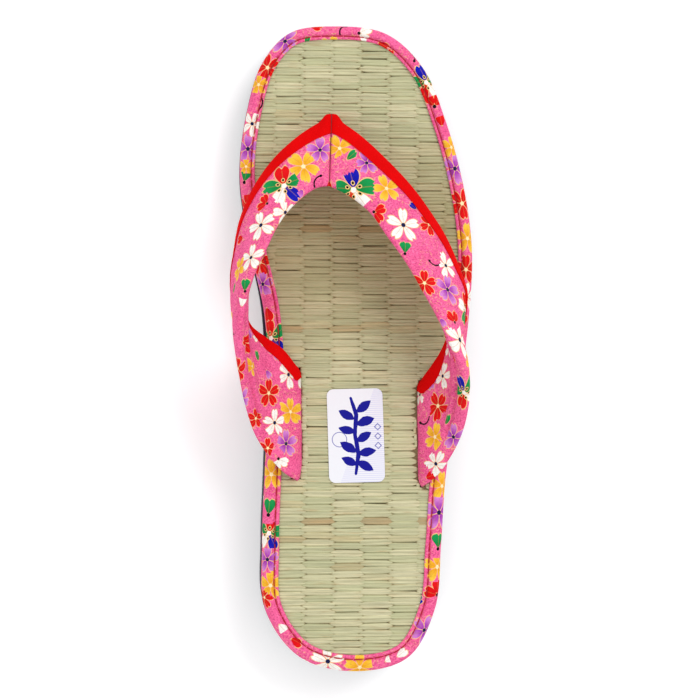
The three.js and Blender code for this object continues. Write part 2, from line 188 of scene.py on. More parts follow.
class RowCurve:
    """Centripetal Catmull-Rom curve through rows of points, read by row number."""

    SHORTEST = 1e-4

    def __init__(self, points: Array, closed: bool = False) -> None:
        """Keeps the points with one more beyond each end.

        Args:
            points: One row for each point.
            closed: Whether the curve comes back to its first point.
        """
        points = np.asarray(points, float)
        self.spans = len(points) if closed else len(points) - 1
        if closed:
            self.points = np.concatenate([points[-1:], points, points[:2]])
        else:
            before = 2 * points[:1] - points[1:2]
            after = 2 * points[-1:] - points[-2:-1]
            self.points = np.concatenate([before, points, after])

    def at(self, rows: Array) -> Array:
        """Points of the curve at row numbers, which may be fractions."""
        rows = np.asarray(rows, float)
        span = np.clip(np.floor(rows).astype(int), 0, self.spans - 1)
        share = (rows - span)[:, None]
        a, b, c, d = (self.points[span + k] for k in range(4))
        step = [np.maximum(np.linalg.norm(v - u, axis=1), self.SHORTEST)[:, None] ** 0.5
                for u, v in ((a, b), (b, c), (c, d))]
        start = ((b - a) / step[0] - (c - a) / (step[0] + step[1]) + (c - b) / step[1]) * step[1]
        end = ((c - b) / step[1] - (d - b) / (step[1] + step[2]) + (d - c) / step[2]) * step[1]
        cubic = 2 * b - 2 * c + start + end
        square = -3 * b + 3 * c - 2 * start - end
        return ((cubic * share + square) * share + start) * share + b


class Outline:
    """The sandal's plan outline, read by arc length, by inset or by station."""

    DENSE = 4096

    def __init__(self) -> None:
        """Samples the outline evenly by arc length."""
        curve = RowCurve(np.array(OUTLINE_POINTS), closed=True)
        raw = curve.at(np.linspace(0, curve.spans, self.DENSE + 1))
        length = travelled(raw)
        self.length = float(length[-1])
        even = np.linspace(0, self.length, self.DENSE, endpoint=False)
        self.points = np.stack([np.interp(even, length, raw[:, k]) for k in range(2)], 1)
        along = unit(np.roll(self.points, -1, 0) - np.roll(self.points, 1, 0))
        self.out = np.stack([-along[:, 1], along[:, 0]], 1)

    def ring(self, count: int) -> tuple[Array, Array, Array]:
        """Evenly spaced points of the outline.

        Args:
            count: Number of points.

        Returns:
            The points, their outward directions and their arc lengths.
        """
        pick = (np.arange(count) * self.DENSE / count).astype(int)
        return self.points[pick], self.out[pick], pick * self.length / self.DENSE

    def breadth(self, y: Array, inset: float) -> tuple[Array, Array]:
        """Inner and outer x of the inset outline at stations y, nan beyond its ends."""
        inside = self.points - self.out * inset
        heel, toe = inside[:, 1].argmin(), inside[:, 1].argmax()
        order = np.arange(self.DENSE)
        outer = inside[(order + toe) % self.DENSE][: (heel - toe) % self.DENSE + 1]
        inner = inside[(order + heel) % self.DENSE][: (toe - heel) % self.DENSE + 1]
        y = np.asarray(y, float)
        beyond = (y < inside[heel, 1]) | (y > inside[toe, 1])
        low = np.where(beyond, np.nan, np.interp(y, inner[:, 1], inner[:, 0]))
        high = np.where(beyond, np.nan, np.interp(-y, -outer[:, 1], outer[:, 0]))
        return low, high

    def ends(self, inset: float) -> tuple[float, float]:
        """Lowest and highest y of the inset outline."""
        inside = self.points - self.out * inset
        return float(inside[:, 1].min()), float(inside[:, 1].max())


OUTLINE = Outline()


def frame_shift() -> Vector:
    """How far the packed sandal lies from the tables' own origin, in mm."""
    low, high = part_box("edge_binding")
    middle = (OUTLINE.points.min(0) + OUTLINE.points.max(0)) / 2
    return Vector(((low.x + high.x) / 2 / MM - middle[0], (low.y + high.y) / 2 / MM - middle[1], 0))


# ---- shader bench

class Signal:
    """A node socket on which Python expressions build Math nodes."""

    def __init__(self, bench: "Bench", socket: Socket) -> None:
        """Keeps the socket and the bench that makes its nodes."""
        self.bench = bench
        self.socket = socket

    def math(self, operation: str, *others: "Signal | Number") -> "Signal":
        """A Math node on this signal and the others."""
        return self.bench.math(operation, self, *others)

    def _operation(operation: str, swapped: bool = False) -> "Callable[..., Signal]":
        """The method behind one Python operator.

        Args:
            operation: The Math node that it adds.
            swapped: Whether the signal is the second term.

        Returns:
            The method.
        """
        def method(self: "Signal", *others: "Signal | Number") -> "Signal":
            """Adds the Math node."""
            return self.bench.math(operation, *((*others, self) if swapped else (self, *others)))
        return method

    __add__ = __radd__ = _operation("ADD")
    __mul__ = __rmul__ = _operation("MULTIPLY")
    __sub__, __rsub__ = _operation("SUBTRACT"), _operation("SUBTRACT", swapped=True)
    __truediv__, __rtruediv__ = _operation("DIVIDE"), _operation("DIVIDE", swapped=True)
    __pow__, __rpow__ = _operation("POWER"), _operation("POWER", swapped=True)
    __mod__, __abs__ = _operation("FLOORED_MODULO"), _operation("ABSOLUTE")
    __lt__, __gt__ = _operation("LESS_THAN"), _operation("GREATER_THAN")
    __and__, __or__ = _operation("MINIMUM"), _operation("MAXIMUM")

    def hypot(self, other: "Signal") -> "Signal":
        """Length of the vector of this signal and the other."""
        return (self * self + other * other).math("SQRT")

    def near(self, value: Number, reach: Number) -> "Signal":
        """1 where this signal is within reach of value."""
        return self.math("COMPARE", value, reach)

    def ease(self, low: Number, high: Number) -> "Signal":
        """Soft step from 0 at low to 1 at high."""
        node = self.bench.node(
            "ShaderNodeMapRange", {"interpolation_type": "SMOOTHSTEP"},
            {"Value": self, "From Min": low, "From Max": high},
        )
        return Signal(self.bench, node.outputs["Result"])


Feed = Signal | Socket | Number | tuple


class Bench:
    """Builds one material's nodes."""

    def __init__(self, name: str) -> None:
        """Starts an empty material of that name."""
        self.material = bpy.data.materials.new(name)
        self.material.use_nodes = True
        self.tree = self.material.node_tree
        self.tree.nodes.clear()

    def node(self, kind: str, settings: dict, feeds: dict[str | int, Feed]) -> bpy.types.Node:
        """Adds a node.

        Args:
            kind: The node's type.
            settings: Its own settings, set before its sockets.
            feeds: A value or a link for each named or numbered input.

        Returns:
            The new node.
        """
        node = self.tree.nodes.new(kind)
        for key, value in settings.items():
            setattr(node, key, value)
        for key, value in feeds.items():
            socket = node.inputs[key]
            if isinstance(value, Signal):
                self.tree.links.new(value.socket, socket)
            elif isinstance(value, Socket):
                self.tree.links.new(value, socket)
            else:
                wide = isinstance(value, tuple) and len(value) == 3 and socket.type == "RGBA"
                socket.default_value = (*value, 1.0) if wide else value
        return node

    def math(self, operation: str, *terms: Signal | Number) -> Signal:
        """A Math node on up to three terms."""
        node = self.node("ShaderNodeMath", {"operation": operation}, dict(enumerate(terms)))
        return Signal(self, node.outputs[0])

    def mix(self, share: Signal | Number, first: Feed, second: Feed) -> Socket:
        """Colour between first at 0 and second at 1."""
        node = self.node("ShaderNodeMix", {"data_type": "RGBA"}, {0: share, 6: first, 7: second})
        return node.outputs[2]

    def split(self, vector: Socket) -> tuple[Signal, Signal, Signal]:
        """The three parts of a vector."""
        node = self.node("ShaderNodeSeparateXYZ", {}, {0: vector})
        return tuple(Signal(self, socket) for socket in node.outputs)

    def place(self, scale: tuple[float, float, float]) -> Socket:
        """Object coordinates scaled on each axis, in units per metre."""
        coordinates = self.node("ShaderNodeTexCoord", {}, {})
        mapping = self.node("ShaderNodeMapping", {},
                            {"Vector": coordinates.outputs["Object"], "Scale": scale})
        return mapping.outputs["Vector"]

    def noise(self, scale: Number | tuple[float, float, float], detail: float = 2.0,
              roughness: float = 0.5) -> Signal:
        """Noise on object coordinates, with its size as repeats in a metre."""
        scales = scale if isinstance(scale, tuple) else (scale, scale, scale)
        node = self.node("ShaderNodeTexNoise", {},
                         {"Vector": self.place(scales), "Scale": 1.0, "Detail": detail,
                          "Roughness": roughness})
        return Signal(self, node.outputs["Fac"])

    def ramp(self, share: Signal, stops: list[tuple[float, Colour]],
             interpolation: str = "LINEAR") -> Socket:
        """Colour read from stops of position and colour."""
        node = self.node("ShaderNodeValToRGB", {}, {})
        band = node.color_ramp
        band.interpolation = interpolation
        while len(band.elements) < len(stops):
            band.elements.new(0.5)
        for element, (position, colour) in zip(band.elements, stops):
            element.position = position
            element.color = (*colour, 1.0)
        self.tree.links.new(share.socket, node.inputs[0])
        return node.outputs["Color"]

    def bump(self, height: Signal, distance_mm: float, strength: float = 1.0) -> Socket:
        """Normal of a surface raised by height times distance."""
        node = self.node("ShaderNodeBump", {},
                         {"Height": height, "Distance": distance_mm * MM, "Strength": strength})
        return node.outputs["Normal"]

    def done(self, colour: Feed, roughness: Feed, normal: Socket,
             **constants: Number | Colour) -> Material:
        """Closes the material with one Principled shader.

        Args:
            colour: Base colour.
            roughness: Roughness.
            normal: Bumped normal.
            constants: Other inputs of the shader, with _ for a space.

        Returns:
            The material.
        """
        feeds = {"Base Color": colour, "Roughness": roughness, "Normal": normal}
        feeds.update({key.replace("_", " "): value for key, value in constants.items()})
        shader = self.node("ShaderNodeBsdfPrincipled", {}, feeds)
        output = self.node("ShaderNodeOutputMaterial", {}, {})
        self.tree.links.new(shader.outputs[0], output.inputs["Surface"])
        return self.material


# ---- finishes


@dataclass(frozen=True)
class FoamFinish:
    """Dark foam rubber with a fine skin grain."""

    dark: Colour = (0.010, 0.012, 0.024)
    light: Colour = (0.028, 0.032, 0.055)

    def material(self) -> Material:
        """Builds the material."""
        bench = Bench("foam_rubber")
        grain = bench.noise(1400.0, 3.0)
        cloud = bench.noise(90.0)
        colour = bench.mix((grain * 0.6 + cloud * 0.4).ease(0.35, 0.7), self.dark, self.light)
        normal = bench.bump(grain + bench.noise(4200.0) * 0.5, 0.12)
        return bench.done(colour, 0.62 + cloud * 0.2, normal, Specular_IOR_Level=0.35)


@dataclass(frozen=True)
class BoardFinish:
    """Straw board under the rush, seen only in the gaps of the weave."""

    colour: Colour = (0.24, 0.18, 0.08)

    def material(self) -> Material:
        """Builds the material."""
        bench = Bench("straw_board")
        fibre = bench.noise((150.0, 1800.0, 1800.0))
        colour = bench.mix(fibre, tuple(0.55 * part for part in self.colour), self.colour)
        return bench.done(colour, 0.85, bench.bump(fibre, 0.15))


@dataclass(frozen=True)
class RushFinish:
    """Woven rush: khaki green stems, some of them tan or brown, with a fine lengthwise grain, and painted
    shade in the gaps of the weave and under the straps' V.
    """

    green: Colour = (0.54, 0.54, 0.31)
    pale: Colour = (0.70, 0.65, 0.41)
    straw: Colour = (0.60, 0.52, 0.28)
    tan: Colour = (0.50, 0.35, 0.17)

    def material(self) -> Material:
        """Builds the material."""
        bench = Bench("rush_stems")
        attribute = bench.node("ShaderNodeAttribute", {"attribute_name": STEM_TONE_AND_SHADE}, {})
        # Tone is the stem's own colour; height drives painted shade low in the weave, end darkens the
        # bundle's ends.
        tone, end, height = bench.split(attribute.outputs["Vector"])
        fibre = bench.noise((60.0, 2600.0, 700.0), 3.0, 0.6)
        streak = bench.noise((110.0, 900.0, 300.0), 2.0)
        stem = bench.ramp(tone, [(0.0, self.pale), (0.28, self.green), (0.6, self.pale),
                                 (0.8, self.straw), (1.0, self.tan)])
        warm = bench.mix(streak.ease(0.55, 0.78) * 0.55, stem, self.tan)
        fine = bench.mix(fibre.ease(0.3, 0.72), tuple(0.5 * part for part in self.green), warm)
        grained = bench.mix(0.62, warm, fine)
        # Darker brown towards both ends of each bundle, where it tapers and dives under the next column.
        end_darkened = bench.mix(end.ease(0.82, 0.98) * 0.45, grained, (0.24, 0.17, 0.07))
        # Painted shade: darker brown low on each bundle, between its two stems and between bundles, where
        # shade falls in the gaps of the weave.
        gap_shaded = bench.mix((1.0 - height.ease(0.1, 0.72)) * 0.7, end_darkened, (0.23, 0.16, 0.06))
        # Painted shadow: a dark brown band across the footbed under the straps' V, darkest at y 42 mm,
        # where the straps shade the rush.
        _, y, _ = bench.split(bench.place((1.0, 1.0, 1.0)))
        painted_v_shadow = 1.0 - abs(y - 0.042).ease(0.008, 0.055)
        colour = bench.mix(painted_v_shadow * 0.4, gap_shaded, (0.24, 0.165, 0.035))
        normal = bench.bump(fibre * 0.8 + streak * 0.5, 0.4, 0.9)
        return bench.done(colour, 0.46 + fibre * 0.2, normal, Specular_IOR_Level=0.4)


PETAL_ARC = math.tau / 5


class Dye(IntEnum):
    """Printing dyes, numbered as the colour chart of the print reads them."""

    NONE = 0
    WHITE = 1
    RED = 2
    GOLD = 3
    PURPLE = 4
    GREEN = 5
    BLUE = 6
    BLACK = 7


class Middle(IntEnum):
    """What is printed at the middle of a bloom."""

    PLAIN = 0
    DARK_DOT = 1
    PALE_DOT = 2
    STAMENS = 3
    BUD = 4
    HOOK = 5


@dataclass(frozen=True)
class Bloom:
    """A printed motif of up to five petals, as dyes in order round its middle."""

    petals: tuple[Dye, Dye, Dye, Dye, Dye]
    width: float
    middle: Middle

    def code(self) -> int:
        """The five dyes as one number in base eight."""
        return sum(int(dye) * 8**k for k, dye in enumerate(self.petals))


# Which of the five spots round a motif's middle hold a petal.
WHOLE = (0, 1, 2, 3, 4)
SINGLE = (0,)
PAIR = (0, 4)


def one_dye(dye: Dye, spots: tuple[int, ...], width: float, middle: Middle) -> Bloom:
    """A motif of one dye with petals at some of the five spots."""
    return Bloom(tuple(dye if spot in spots else Dye.NONE for spot in WHOLE), width, middle)


class Motif(Enum):
    """The motifs of the print."""

    WHITE = one_dye(Dye.WHITE, WHOLE, 0.25, Middle.DARK_DOT)
    RED = one_dye(Dye.RED, WHOLE, 0.3, Middle.PALE_DOT)
    GOLD = one_dye(Dye.GOLD, WHOLE, 0.28, Middle.PALE_DOT)
    PURPLE = one_dye(Dye.PURPLE, WHOLE, 0.29, Middle.DARK_DOT)
    MIXED_RED = Bloom((Dye.RED, Dye.GREEN, Dye.WHITE, Dye.BLUE, Dye.GREEN), 0.31, Middle.STAMENS)
    MIXED_BLUE = Bloom((Dye.BLUE, Dye.GREEN, Dye.RED, Dye.WHITE, Dye.GREEN), 0.31, Middle.STAMENS)
    WHITE_PETAL = one_dye(Dye.WHITE, SINGLE, 0.38, Middle.PLAIN)
    RED_PETAL = one_dye(Dye.RED, SINGLE, 0.38, Middle.PLAIN)
    RED_PAIR = one_dye(Dye.RED, PAIR, 0.36, Middle.BUD)
    WHITE_PAIR = one_dye(Dye.WHITE, PAIR, 0.36, Middle.BUD)
    GREEN_HEART = one_dye(Dye.GREEN, SINGLE, 0.46, Middle.BUD)
    BLUE_PETAL = one_dye(Dye.BLUE, SINGLE, 0.3, Middle.PLAIN)
    LILAC_PETAL = one_dye(Dye.PURPLE, SINGLE, 0.3, Middle.PLAIN)
    LEAF = one_dye(Dye.GREEN, SINGLE, 0.22, Middle.PLAIN)
    TWIG = Bloom((Dye.NONE,) * 5, 0.2, Middle.HOOK)


@dataclass(frozen=True)
class Sprig:
    """Where a motif is printed, in plan: its middle, first petal's bearing and size, mm and degrees."""

    motif: Motif
    x: float
    y: float
    turn: float
    size: float


def sprigs(table: dict[Motif, tuple[tuple[float, ...], ...]]) -> tuple[Sprig, ...]:
    """Every motif of a table at each of its places."""
    return tuple(Sprig(motif, *place) for motif, places in table.items() for place in places)


STRAP_PRINT = sprigs({
    Motif.PURPLE: ((-14.2, 75.6, 90, 5.2), (3.6, 70.6, 250, 4.8), (33.6, 22.6, 90, 6.2),
        (-26.9, -36.6, 90, 5.4), (35.2, -34.0, 90, 5.4)),
    Motif.GOLD: ((-21.4, 69.2, 60, 6.8), (-46.4, 30.0, 90, 5.0), (-7.6, 76.6, 262, 5.4),
        (10.5, 61.0, 110, 5.5), (-40.4, -7.4, 90, 4.2), (-25.0, -25.2, 90, 5.2), (42.0, -6.0, 90, 4.6),
        (29.2, -34.4, 80, 5.6)),
    Motif.MIXED_RED: ((-28.7, 61.6, 100, 8.6),),
    Motif.WHITE: ((-27.6, 50.4, 175, 5.6), (-38.0, 46.3, 100, 6.4), (-41.6, 34.3, 80, 5.6),
        (16.2, 47.2, 90, 6.8), (33.8, 31.6, 110, 5.6), (37.6, 3.4, 90, 7.2), (-25.9, -10.4, 70, 5.6),
        (-31.4, -28.6, 90, 5.4), (31.8, -11.0, 80, 5.2), (29.0, -44.6, 60, 5.6)),
    Motif.RED_PAIR: ((-35.4, 55.0, 200, 4.6), (4.4, 51.6, 24, 4.8), (36.0, 9.6, 126, 5.0)),
    Motif.GREEN_HEART: ((-43.6, 21.4, 95, 4.6), (16.0, 35.8, 85, 4.8)),
    Motif.WHITE_PETAL: ((-44.8, 14.2, 80, 5.0),),
    Motif.RED_PETAL: ((-44.6, 41.4, 200, 4.4), (25.4, -50.4, 20, 5.0)),
    Motif.LILAC_PETAL: ((-21.5, 60.5, 240, 4.0), (29.0, 11.0, -60, 4.0), (-35.0, -8.0, -70, 4.4)),
    Motif.LEAF: ((-4.8, 71.8, 48, 5.8), (-37.6, -6.0, 100, 4.6), (33.2, -29.4, 75, 4.6)),
    Motif.MIXED_BLUE: ((-2.8, 60.4, 92, 9.0), (38.4, -17.6, 110, 7.0)),
    Motif.BLUE_PETAL: ((22.8, 53.0, 140, 3.8),),
    Motif.RED: ((27.4, 47.0, 200, 4.6), (24.6, 24.6, 90, 5.2), (-33.8, -17.8, 20, 5.6),
        (-39.0, -26.2, 90, 4.0), (-34.2, -38.0, 90, 4.0), (30.0, -22.6, 60, 5.6)),
    Motif.TWIG: ((28.2, 34.6, 215, 5.0),),
    Motif.WHITE_PAIR: ((-31.0, -42.6, -30, 4.8),),
})
BINDING_PRINT = sprigs({
    Motif.PURPLE: ((-28.0, 119.0, 60, 5.8), (-42.6, 77.2, 90, 6.0), (39.6, 70.2, 80, 6.4),
        (-36.6, 24.4, 90, 5.3), (-35.0, -81.6, 90, 5.5), (26.6, -108.8, 60, 6.0),
        (32.4, -63.4, 90, 7.1)),
    Motif.RED: ((-35.0, 108.6, 30, 5.5), (-42.6, 55.0, 90, 5.1), (42.6, 56.0, 70, 6.2),
        (43.8, 30.6, 90, 5.8), (-37.8, 33.0, 90, 5.8), (-36.2, -96.4, 90, 4.4)),
    Motif.GOLD: ((-38.4, 101.6, 90, 4.8), (-43.2, 70.2, 90, 4.1), (38.4, 78.4, 90, 4.8),
        (44.6, 42.6, 90, 6.0), (-33.6, -48.6, 90, 6.0), (-33.0, -90.6, 90, 6.0),
        (1.0, -123.6, 90, 6.2), (31.6, -84.6, 90, 6.2), (33.4, -53.4, 90, 5.5)),
    Motif.TWIG: ((-38.7, 94.6, 300, 5.1), (-3.4, 123.0, 100, 4.8), (21.0, 113.6, 330, 5.1)),
    Motif.WHITE: ((-40.8, 86.8, 60, 5.3), (44.4, 20.0, 90, 5.8), (-12.0, -121.0, 90, 6.9)),
    Motif.GREEN_HEART: ((-43.6, 63.4, 80, 5.8), (-34.6, -64.6, 85, 6.2), (32.0, -77.4, 88, 6.0)),
    Motif.WHITE_PAIR: ((1.6, 122.0, 30, 5.3),),
    Motif.RED_PETAL: ((8.6, 118.6, -20, 5.1), (34.6, 86.6, 100, 5.5), (-35.4, 16.0, -80, 6.2),
        (-26.4, -111.4, -30, 5.5)),
    Motif.MIXED_BLUE: ((28.4, 103.4, 110, 7.6),),
    Motif.RED_PAIR: ((31.6, 94.0, 130, 6.2), (31.6, -95.4, 150, 6.2)),
    Motif.MIXED_RED: ((-33.4, 4.0, 100, 7.6), (-34.8, -71.2, 80, 7.1)),
    Motif.WHITE_PETAL: ((-31.2, -105.6, -50, 6.2), (10.4, -121.8, 30, 5.5), (14.6, -119.8, 30, 5.3)),
})


@dataclass(frozen=True)
class PrintFinish:
    """Pink crepe printed with many-coloured blossoms outlined in gold."""

    pink: Colour = (0.90, 0.13, 0.33)
    deep_pink: Colour = (0.76, 0.075, 0.23)
    gold: Colour = (0.86, 0.55, 0.22)
    dyes: tuple[Colour, ...] = (
        (0.90, 0.13, 0.33), (0.88, 0.83, 0.76), (0.66, 0.003, 0.005), (0.84, 0.38, 0.015),
        (0.36, 0.035, 0.42), (0.003, 0.22, 0.045), (0.003, 0.006, 0.30), (0.008, 0.005, 0.006),
    )
    tips: tuple[Colour, ...] = (
        (0.90, 0.13, 0.33), (0.92, 0.91, 0.87), (0.76, 0.006, 0.008), (0.92, 0.56, 0.05),
        (0.66, 0.22, 0.62), (0.006, 0.30, 0.075), (0.005, 0.010, 0.42), (0.010, 0.006, 0.008),
    )

    def material(self, name: str) -> Material:
        """Builds the material.

        Args:
            name: The material's name.

        Returns:
            The material, which reads the motif map and the motif form of its piece.
        """
        bench = Bench(name)
        place = bench.node("ShaderNodeUVMap", {"uv_map": MOTIF_MAP}, {}).outputs[0]
        form = bench.node("ShaderNodeAttribute", {"attribute_name": MOTIF_FORM}, {})
        u, v, _ = bench.split(place)
        code, width, middle = bench.split(form.outputs["Vector"])

        radius = u.hypot(v)
        turn = v.math("ARCTAN2", u) / PETAL_ARC
        sector = turn.math("ROUND")
        fold = (turn - sector) * PETAL_ARC
        along = radius * fold.math("COSINE")
        across = abs(radius * fold.math("SINE"))
        digit = ((code + 0.5) / 8.0 ** (sector % 5.0)).math("FLOOR") % 8.0
        digit_share = (digit + 0.5) / 8.0

        half = width * (0.55 + 0.75 * along)
        oval = ((along - 0.56) / 0.44) ** 2.0 + (across / half) ** 2.0
        notch = along - across * 1.3
        printed = digit > 0.5
        petal = (oval < 1.0) & (notch < 0.84) & printed
        edge = (oval < 1.3) & (notch < 0.9) & printed

        crepe = bench.noise((1250.0, 1700.0, 1500.0), 3.0, 0.65)
        # Painted shade: the ground is darkened in the hollows of the crepe grain, the same noise that
        # raises its bump.
        crepe_hollow_shade = 1.0 - crepe.ease(0.34, 0.52)
        ground = bench.mix(crepe_hollow_shade * 0.42, self._ground(bench), (0.42, 0.03, 0.12))
        # Painted highlight: the ground is lightened on the crests of the crepe grain.
        ground = bench.mix(crepe.ease(0.54, 0.68) * 0.26, ground, (0.98, 0.50, 0.62))
        base, tip = (bench.ramp(digit_share, [(k / 8, dye) for k, dye in enumerate(chart)], "CONSTANT")
                     for chart in (self.dyes, self.tips))
        shade = (radius + bench.noise(700.0) * 0.3).ease(0.35, 1.05)
        cloth = bench.mix(shade, base, tip)
        vein = (across < 0.02) & (along < 0.78)
        veined = bench.mix(vein * 0.35, cloth, (0.5, 0.22, 0.06))
        outlined = bench.mix(edge * 0.85, ground, self.gold)
        flower = bench.mix(petal, outlined, veined)
        colour = self._middle(bench, flower, radius, turn, middle)

        weave = bench.noise(5200.0, 1.0)
        # Painted shade: prints and ground alike are darkened a little in the crepe's hollows.
        shaded = bench.mix(crepe_hollow_shade * 0.16, colour, (0.12, 0.01, 0.03))
        return bench.done(shaded, 0.85, bench.bump(crepe + weave * 0.35, 0.36, 0.9),
                          Specular_IOR_Level=0.1)

    def _ground(self, bench: Bench) -> Socket:
        """Pink ground with soft clouds and short fine gold lines."""
        cloud = bench.noise(160.0, 2.0)
        pink = bench.mix(cloud.ease(0.3, 0.7) * 0.5, self.pink, self.deep_pink)
        line = abs(bench.noise(420.0, 1.5) - 0.5) < 0.012
        patch = bench.noise(95.0) > 0.5
        return bench.mix((line & patch) * 0.55, pink, self.gold)

    def _middle(self, bench: Bench, flower: Socket, radius: Signal, turn: Signal,
                middle: Signal) -> Socket:
        """Adds the dot, stamens, bud or hook at the motif's middle."""
        dotted, paled, stamens, budded, hooked = (
            middle.near(kind, 0.3) for kind in (Middle.DARK_DOT, Middle.PALE_DOT, Middle.STAMENS,
                                                Middle.BUD, Middle.HOOK))
        centre = radius < 0.12
        spoke = ((turn * 1.2 + 0.5) % 1.0 - 0.5) * (math.tau / 6)
        out = radius * spoke.math("COSINE") - 0.3
        aside = radius * spoke.math("SINE")
        gap = (out * out + aside * aside * 1.6).math("SQRT")
        hook = (abs(radius - 0.62) < 0.06) & (abs(turn - 0.7) < 0.75)
        tip_out = (radius - 0.62) * (radius - 0.62) + (turn + 0.05) * (turn + 0.05) * 0.5
        colour = bench.mix((radius < 0.13) & dotted, flower, (0.008, 0.012, 0.06))
        colour = bench.mix(centre & paled, colour, (0.95, 0.80, 0.45))
        colour = bench.mix((gap < 0.105) & stamens, colour, self.gold)
        colour = bench.mix(centre & stamens, colour, (0.92, 0.88, 0.80))
        inked = ((gap < 0.062) & stamens) | (centre & budded) | ((hook | (tip_out < 0.012)) & hooked)
        return bench.mix(inked, colour, self.dyes[Dye.BLACK])


@dataclass(frozen=True)
class RedClothFinish:
    """Plain red cotton, a fine even weave."""

    red: Colour = (0.71, 0.001, 0.002)
    deep: Colour = (0.50, 0.001, 0.001)

    def material(self) -> Material:
        """Builds the material."""
        bench = Bench("red_cotton")
        weave = bench.noise((2600.0, 2600.0, 2600.0), 2.0)
        cloud = bench.noise(120.0)
        colour = bench.mix((weave * 0.6 + cloud * 0.4).ease(0.35, 0.65) * 0.6, self.red, self.deep)
        return bench.done(colour, 0.85, bench.bump(weave, 0.18, 0.8),
                          Specular_IOR_Level=0.04)


@dataclass(frozen=True)
class ThreadFinish:
    """Twisted sewing thread."""

    name: str
    colour: Colour

    def material(self) -> Material:
        """Builds the material."""
        bench = Bench(self.name)
        twist = bench.noise((3200.0, 5200.0, 3200.0), 1.0)
        colour = bench.mix(twist, tuple(0.5 * part for part in self.colour), self.colour)
        return bench.done(colour, 0.6, bench.bump(twist, 0.08))


@dataclass(frozen=True)
class LabelFinish:
    """White label with fine lavender rules, a brushed sprig in blue and a thin ring."""

    paper: Colour = (0.74, 0.75, 0.79)
    rule: Colour = (0.50, 0.49, 0.74)
    ink: Colour = (0.001, 0.001, 0.24)
    fine_ink: Colour = (0.05, 0.06, 0.36)
    # Brush strokes in mm from the label's middle: start, end, and half the width at each.
    strokes: tuple[tuple[float, ...], ...] = (
        (-1.6, 14.4, 0.4, 8.0, 0.5, 0.85), (0.4, 8.0, -0.4, 0.5, 0.85, 0.75),
        (-0.4, 0.5, 0.8, -7.0, 0.75, 0.9), (0.8, -7.0, -0.4, -14.6, 0.9, 0.5),
    )
    # Leaves: middle, half length, half width and turn in degrees.
    leaves: tuple[tuple[float, ...], ...] = (
        (3.2, 11.0, 3.6, 1.75, 38), (-3.4, 8.0, 3.5, 1.7, 150), (3.8, 5.4, 3.9, 1.8, 18),
        (-3.4, 2.2, 3.4, 1.6, 165), (3.0, -0.6, 3.4, 1.7, 30), (-3.0, -4.4, 3.8, 1.8, 148),
        (4.0, -6.4, 3.6, 1.7, 8), (-2.8, -9.8, 3.4, 1.6, 155), (3.2, -11.6, 3.7, 1.75, 330),
    )

    def material(self) -> Material:
        """Builds the material."""
        bench = Bench("label_paper")
        place = bench.node("ShaderNodeUVMap", {"uv_map": CLOTH_MAP}, {}).outputs[0]
        x, y, _ = bench.split(place)
        rules = ((y / 0.78) % 1.0 < 0.42) & (x * 0.9 - y * 0.35 > 0.5)
        colour = bench.mix(rules * 0.55, self.paper, self.rule)
        ring_x, ring_y = x + 6.4, y + 1.4
        ring = abs(ring_x.hypot(ring_y) - 2.8) < 0.16
        colour = bench.mix(ring * 0.8, colour, self.fine_ink)
        for height in (3.2, -0.4, -4.0):
            dot_x, dot_y = abs(x - 8.5), abs(y - height)
            diamond = abs(dot_x + dot_y - 1.2) < 0.26
            colour = bench.mix(diamond * 0.8, colour, self.fine_ink)
        wobble = (bench.noise(420.0, 2.0) - 0.5) * 0.4
        marks = [self._stroke(x, y, stroke) + wobble < 0.0 for stroke in self.strokes]
        marks += [self._leaf(x, y, leaf) + wobble < 1.0 for leaf in self.leaves]
        colour = bench.mix(functools.reduce(operator.or_, marks), colour, self.ink)
        return bench.done(colour, 0.55, bench.bump(bench.noise(2000.0), 0.01),
                          Specular_IOR_Level=0.15)

    def _leaf(self, x: Signal, y: Signal, leaf: tuple[float, ...]) -> Signal:
        """Measure of a pointed leaf, below 1 inside it."""
        middle_x, middle_y, long, wide, turn = leaf
        cosine, sine = math.cos(math.radians(turn)), math.sin(math.radians(turn))
        from_x, from_y = x - middle_x, y - middle_y
        along = from_x * (cosine / long) + from_y * (sine / long)
        across = from_y * (cosine / wide) - from_x * (sine / wide)
        return abs(across) + along * along

    def _stroke(self, x: Signal, y: Signal, stroke: tuple[float, ...]) -> Signal:
        """Distance to a tapering brush stroke, below zero inside it."""
        x0, y0, x1, y1, wide0, wide1 = stroke
        run_x, run_y = x1 - x0, y1 - y0
        square = run_x * run_x + run_y * run_y
        from_x, from_y = x - x0, y - y0
        share = ((from_x * run_x + from_y * run_y) / square).math("MAXIMUM", 0.0).math("MINIMUM", 1.0)
        off_x, off_y = from_x - share * run_x, from_y - share * run_y
        return off_x.hypot(off_y) - wide0 - share * (wide1 - wide0)


@dataclass(frozen=True)
class FloorFinish:
    """Plain white studio floor."""

    white: Colour = (0.93, 0.93, 0.935)

    def material(self) -> Material:
        """Builds the material."""
        bench = Bench("studio_floor")
        grain = bench.noise(40.0)
        colour = bench.mix(grain * 0.02, self.white, (0.9, 0.9, 0.9))
        return bench.done(colour, 0.9, bench.bump(grain, 0.01), Specular_IOR_Level=0.1,
                          Emission_Color=(1.0, 1.0, 1.0), Emission_Strength=0.16)


# ---- workshop


def clear_selection() -> None:
    """Leaves nothing selected, so that an operator acts on the new piece alone."""
    for item in bpy.context.selected_objects:
        item.select_set(False)


def pick_up(piece: Piece) -> None:
    """Selects the piece alone and makes it active."""
    clear_selection()
    piece.select_set(True)
    bpy.context.view_layer.objects.active = piece


def name_new(name: str) -> Piece:
    """Names the object that an operator has just added."""
    piece = bpy.context.active_object
    piece.name = name
    piece.data.name = name
    return piece


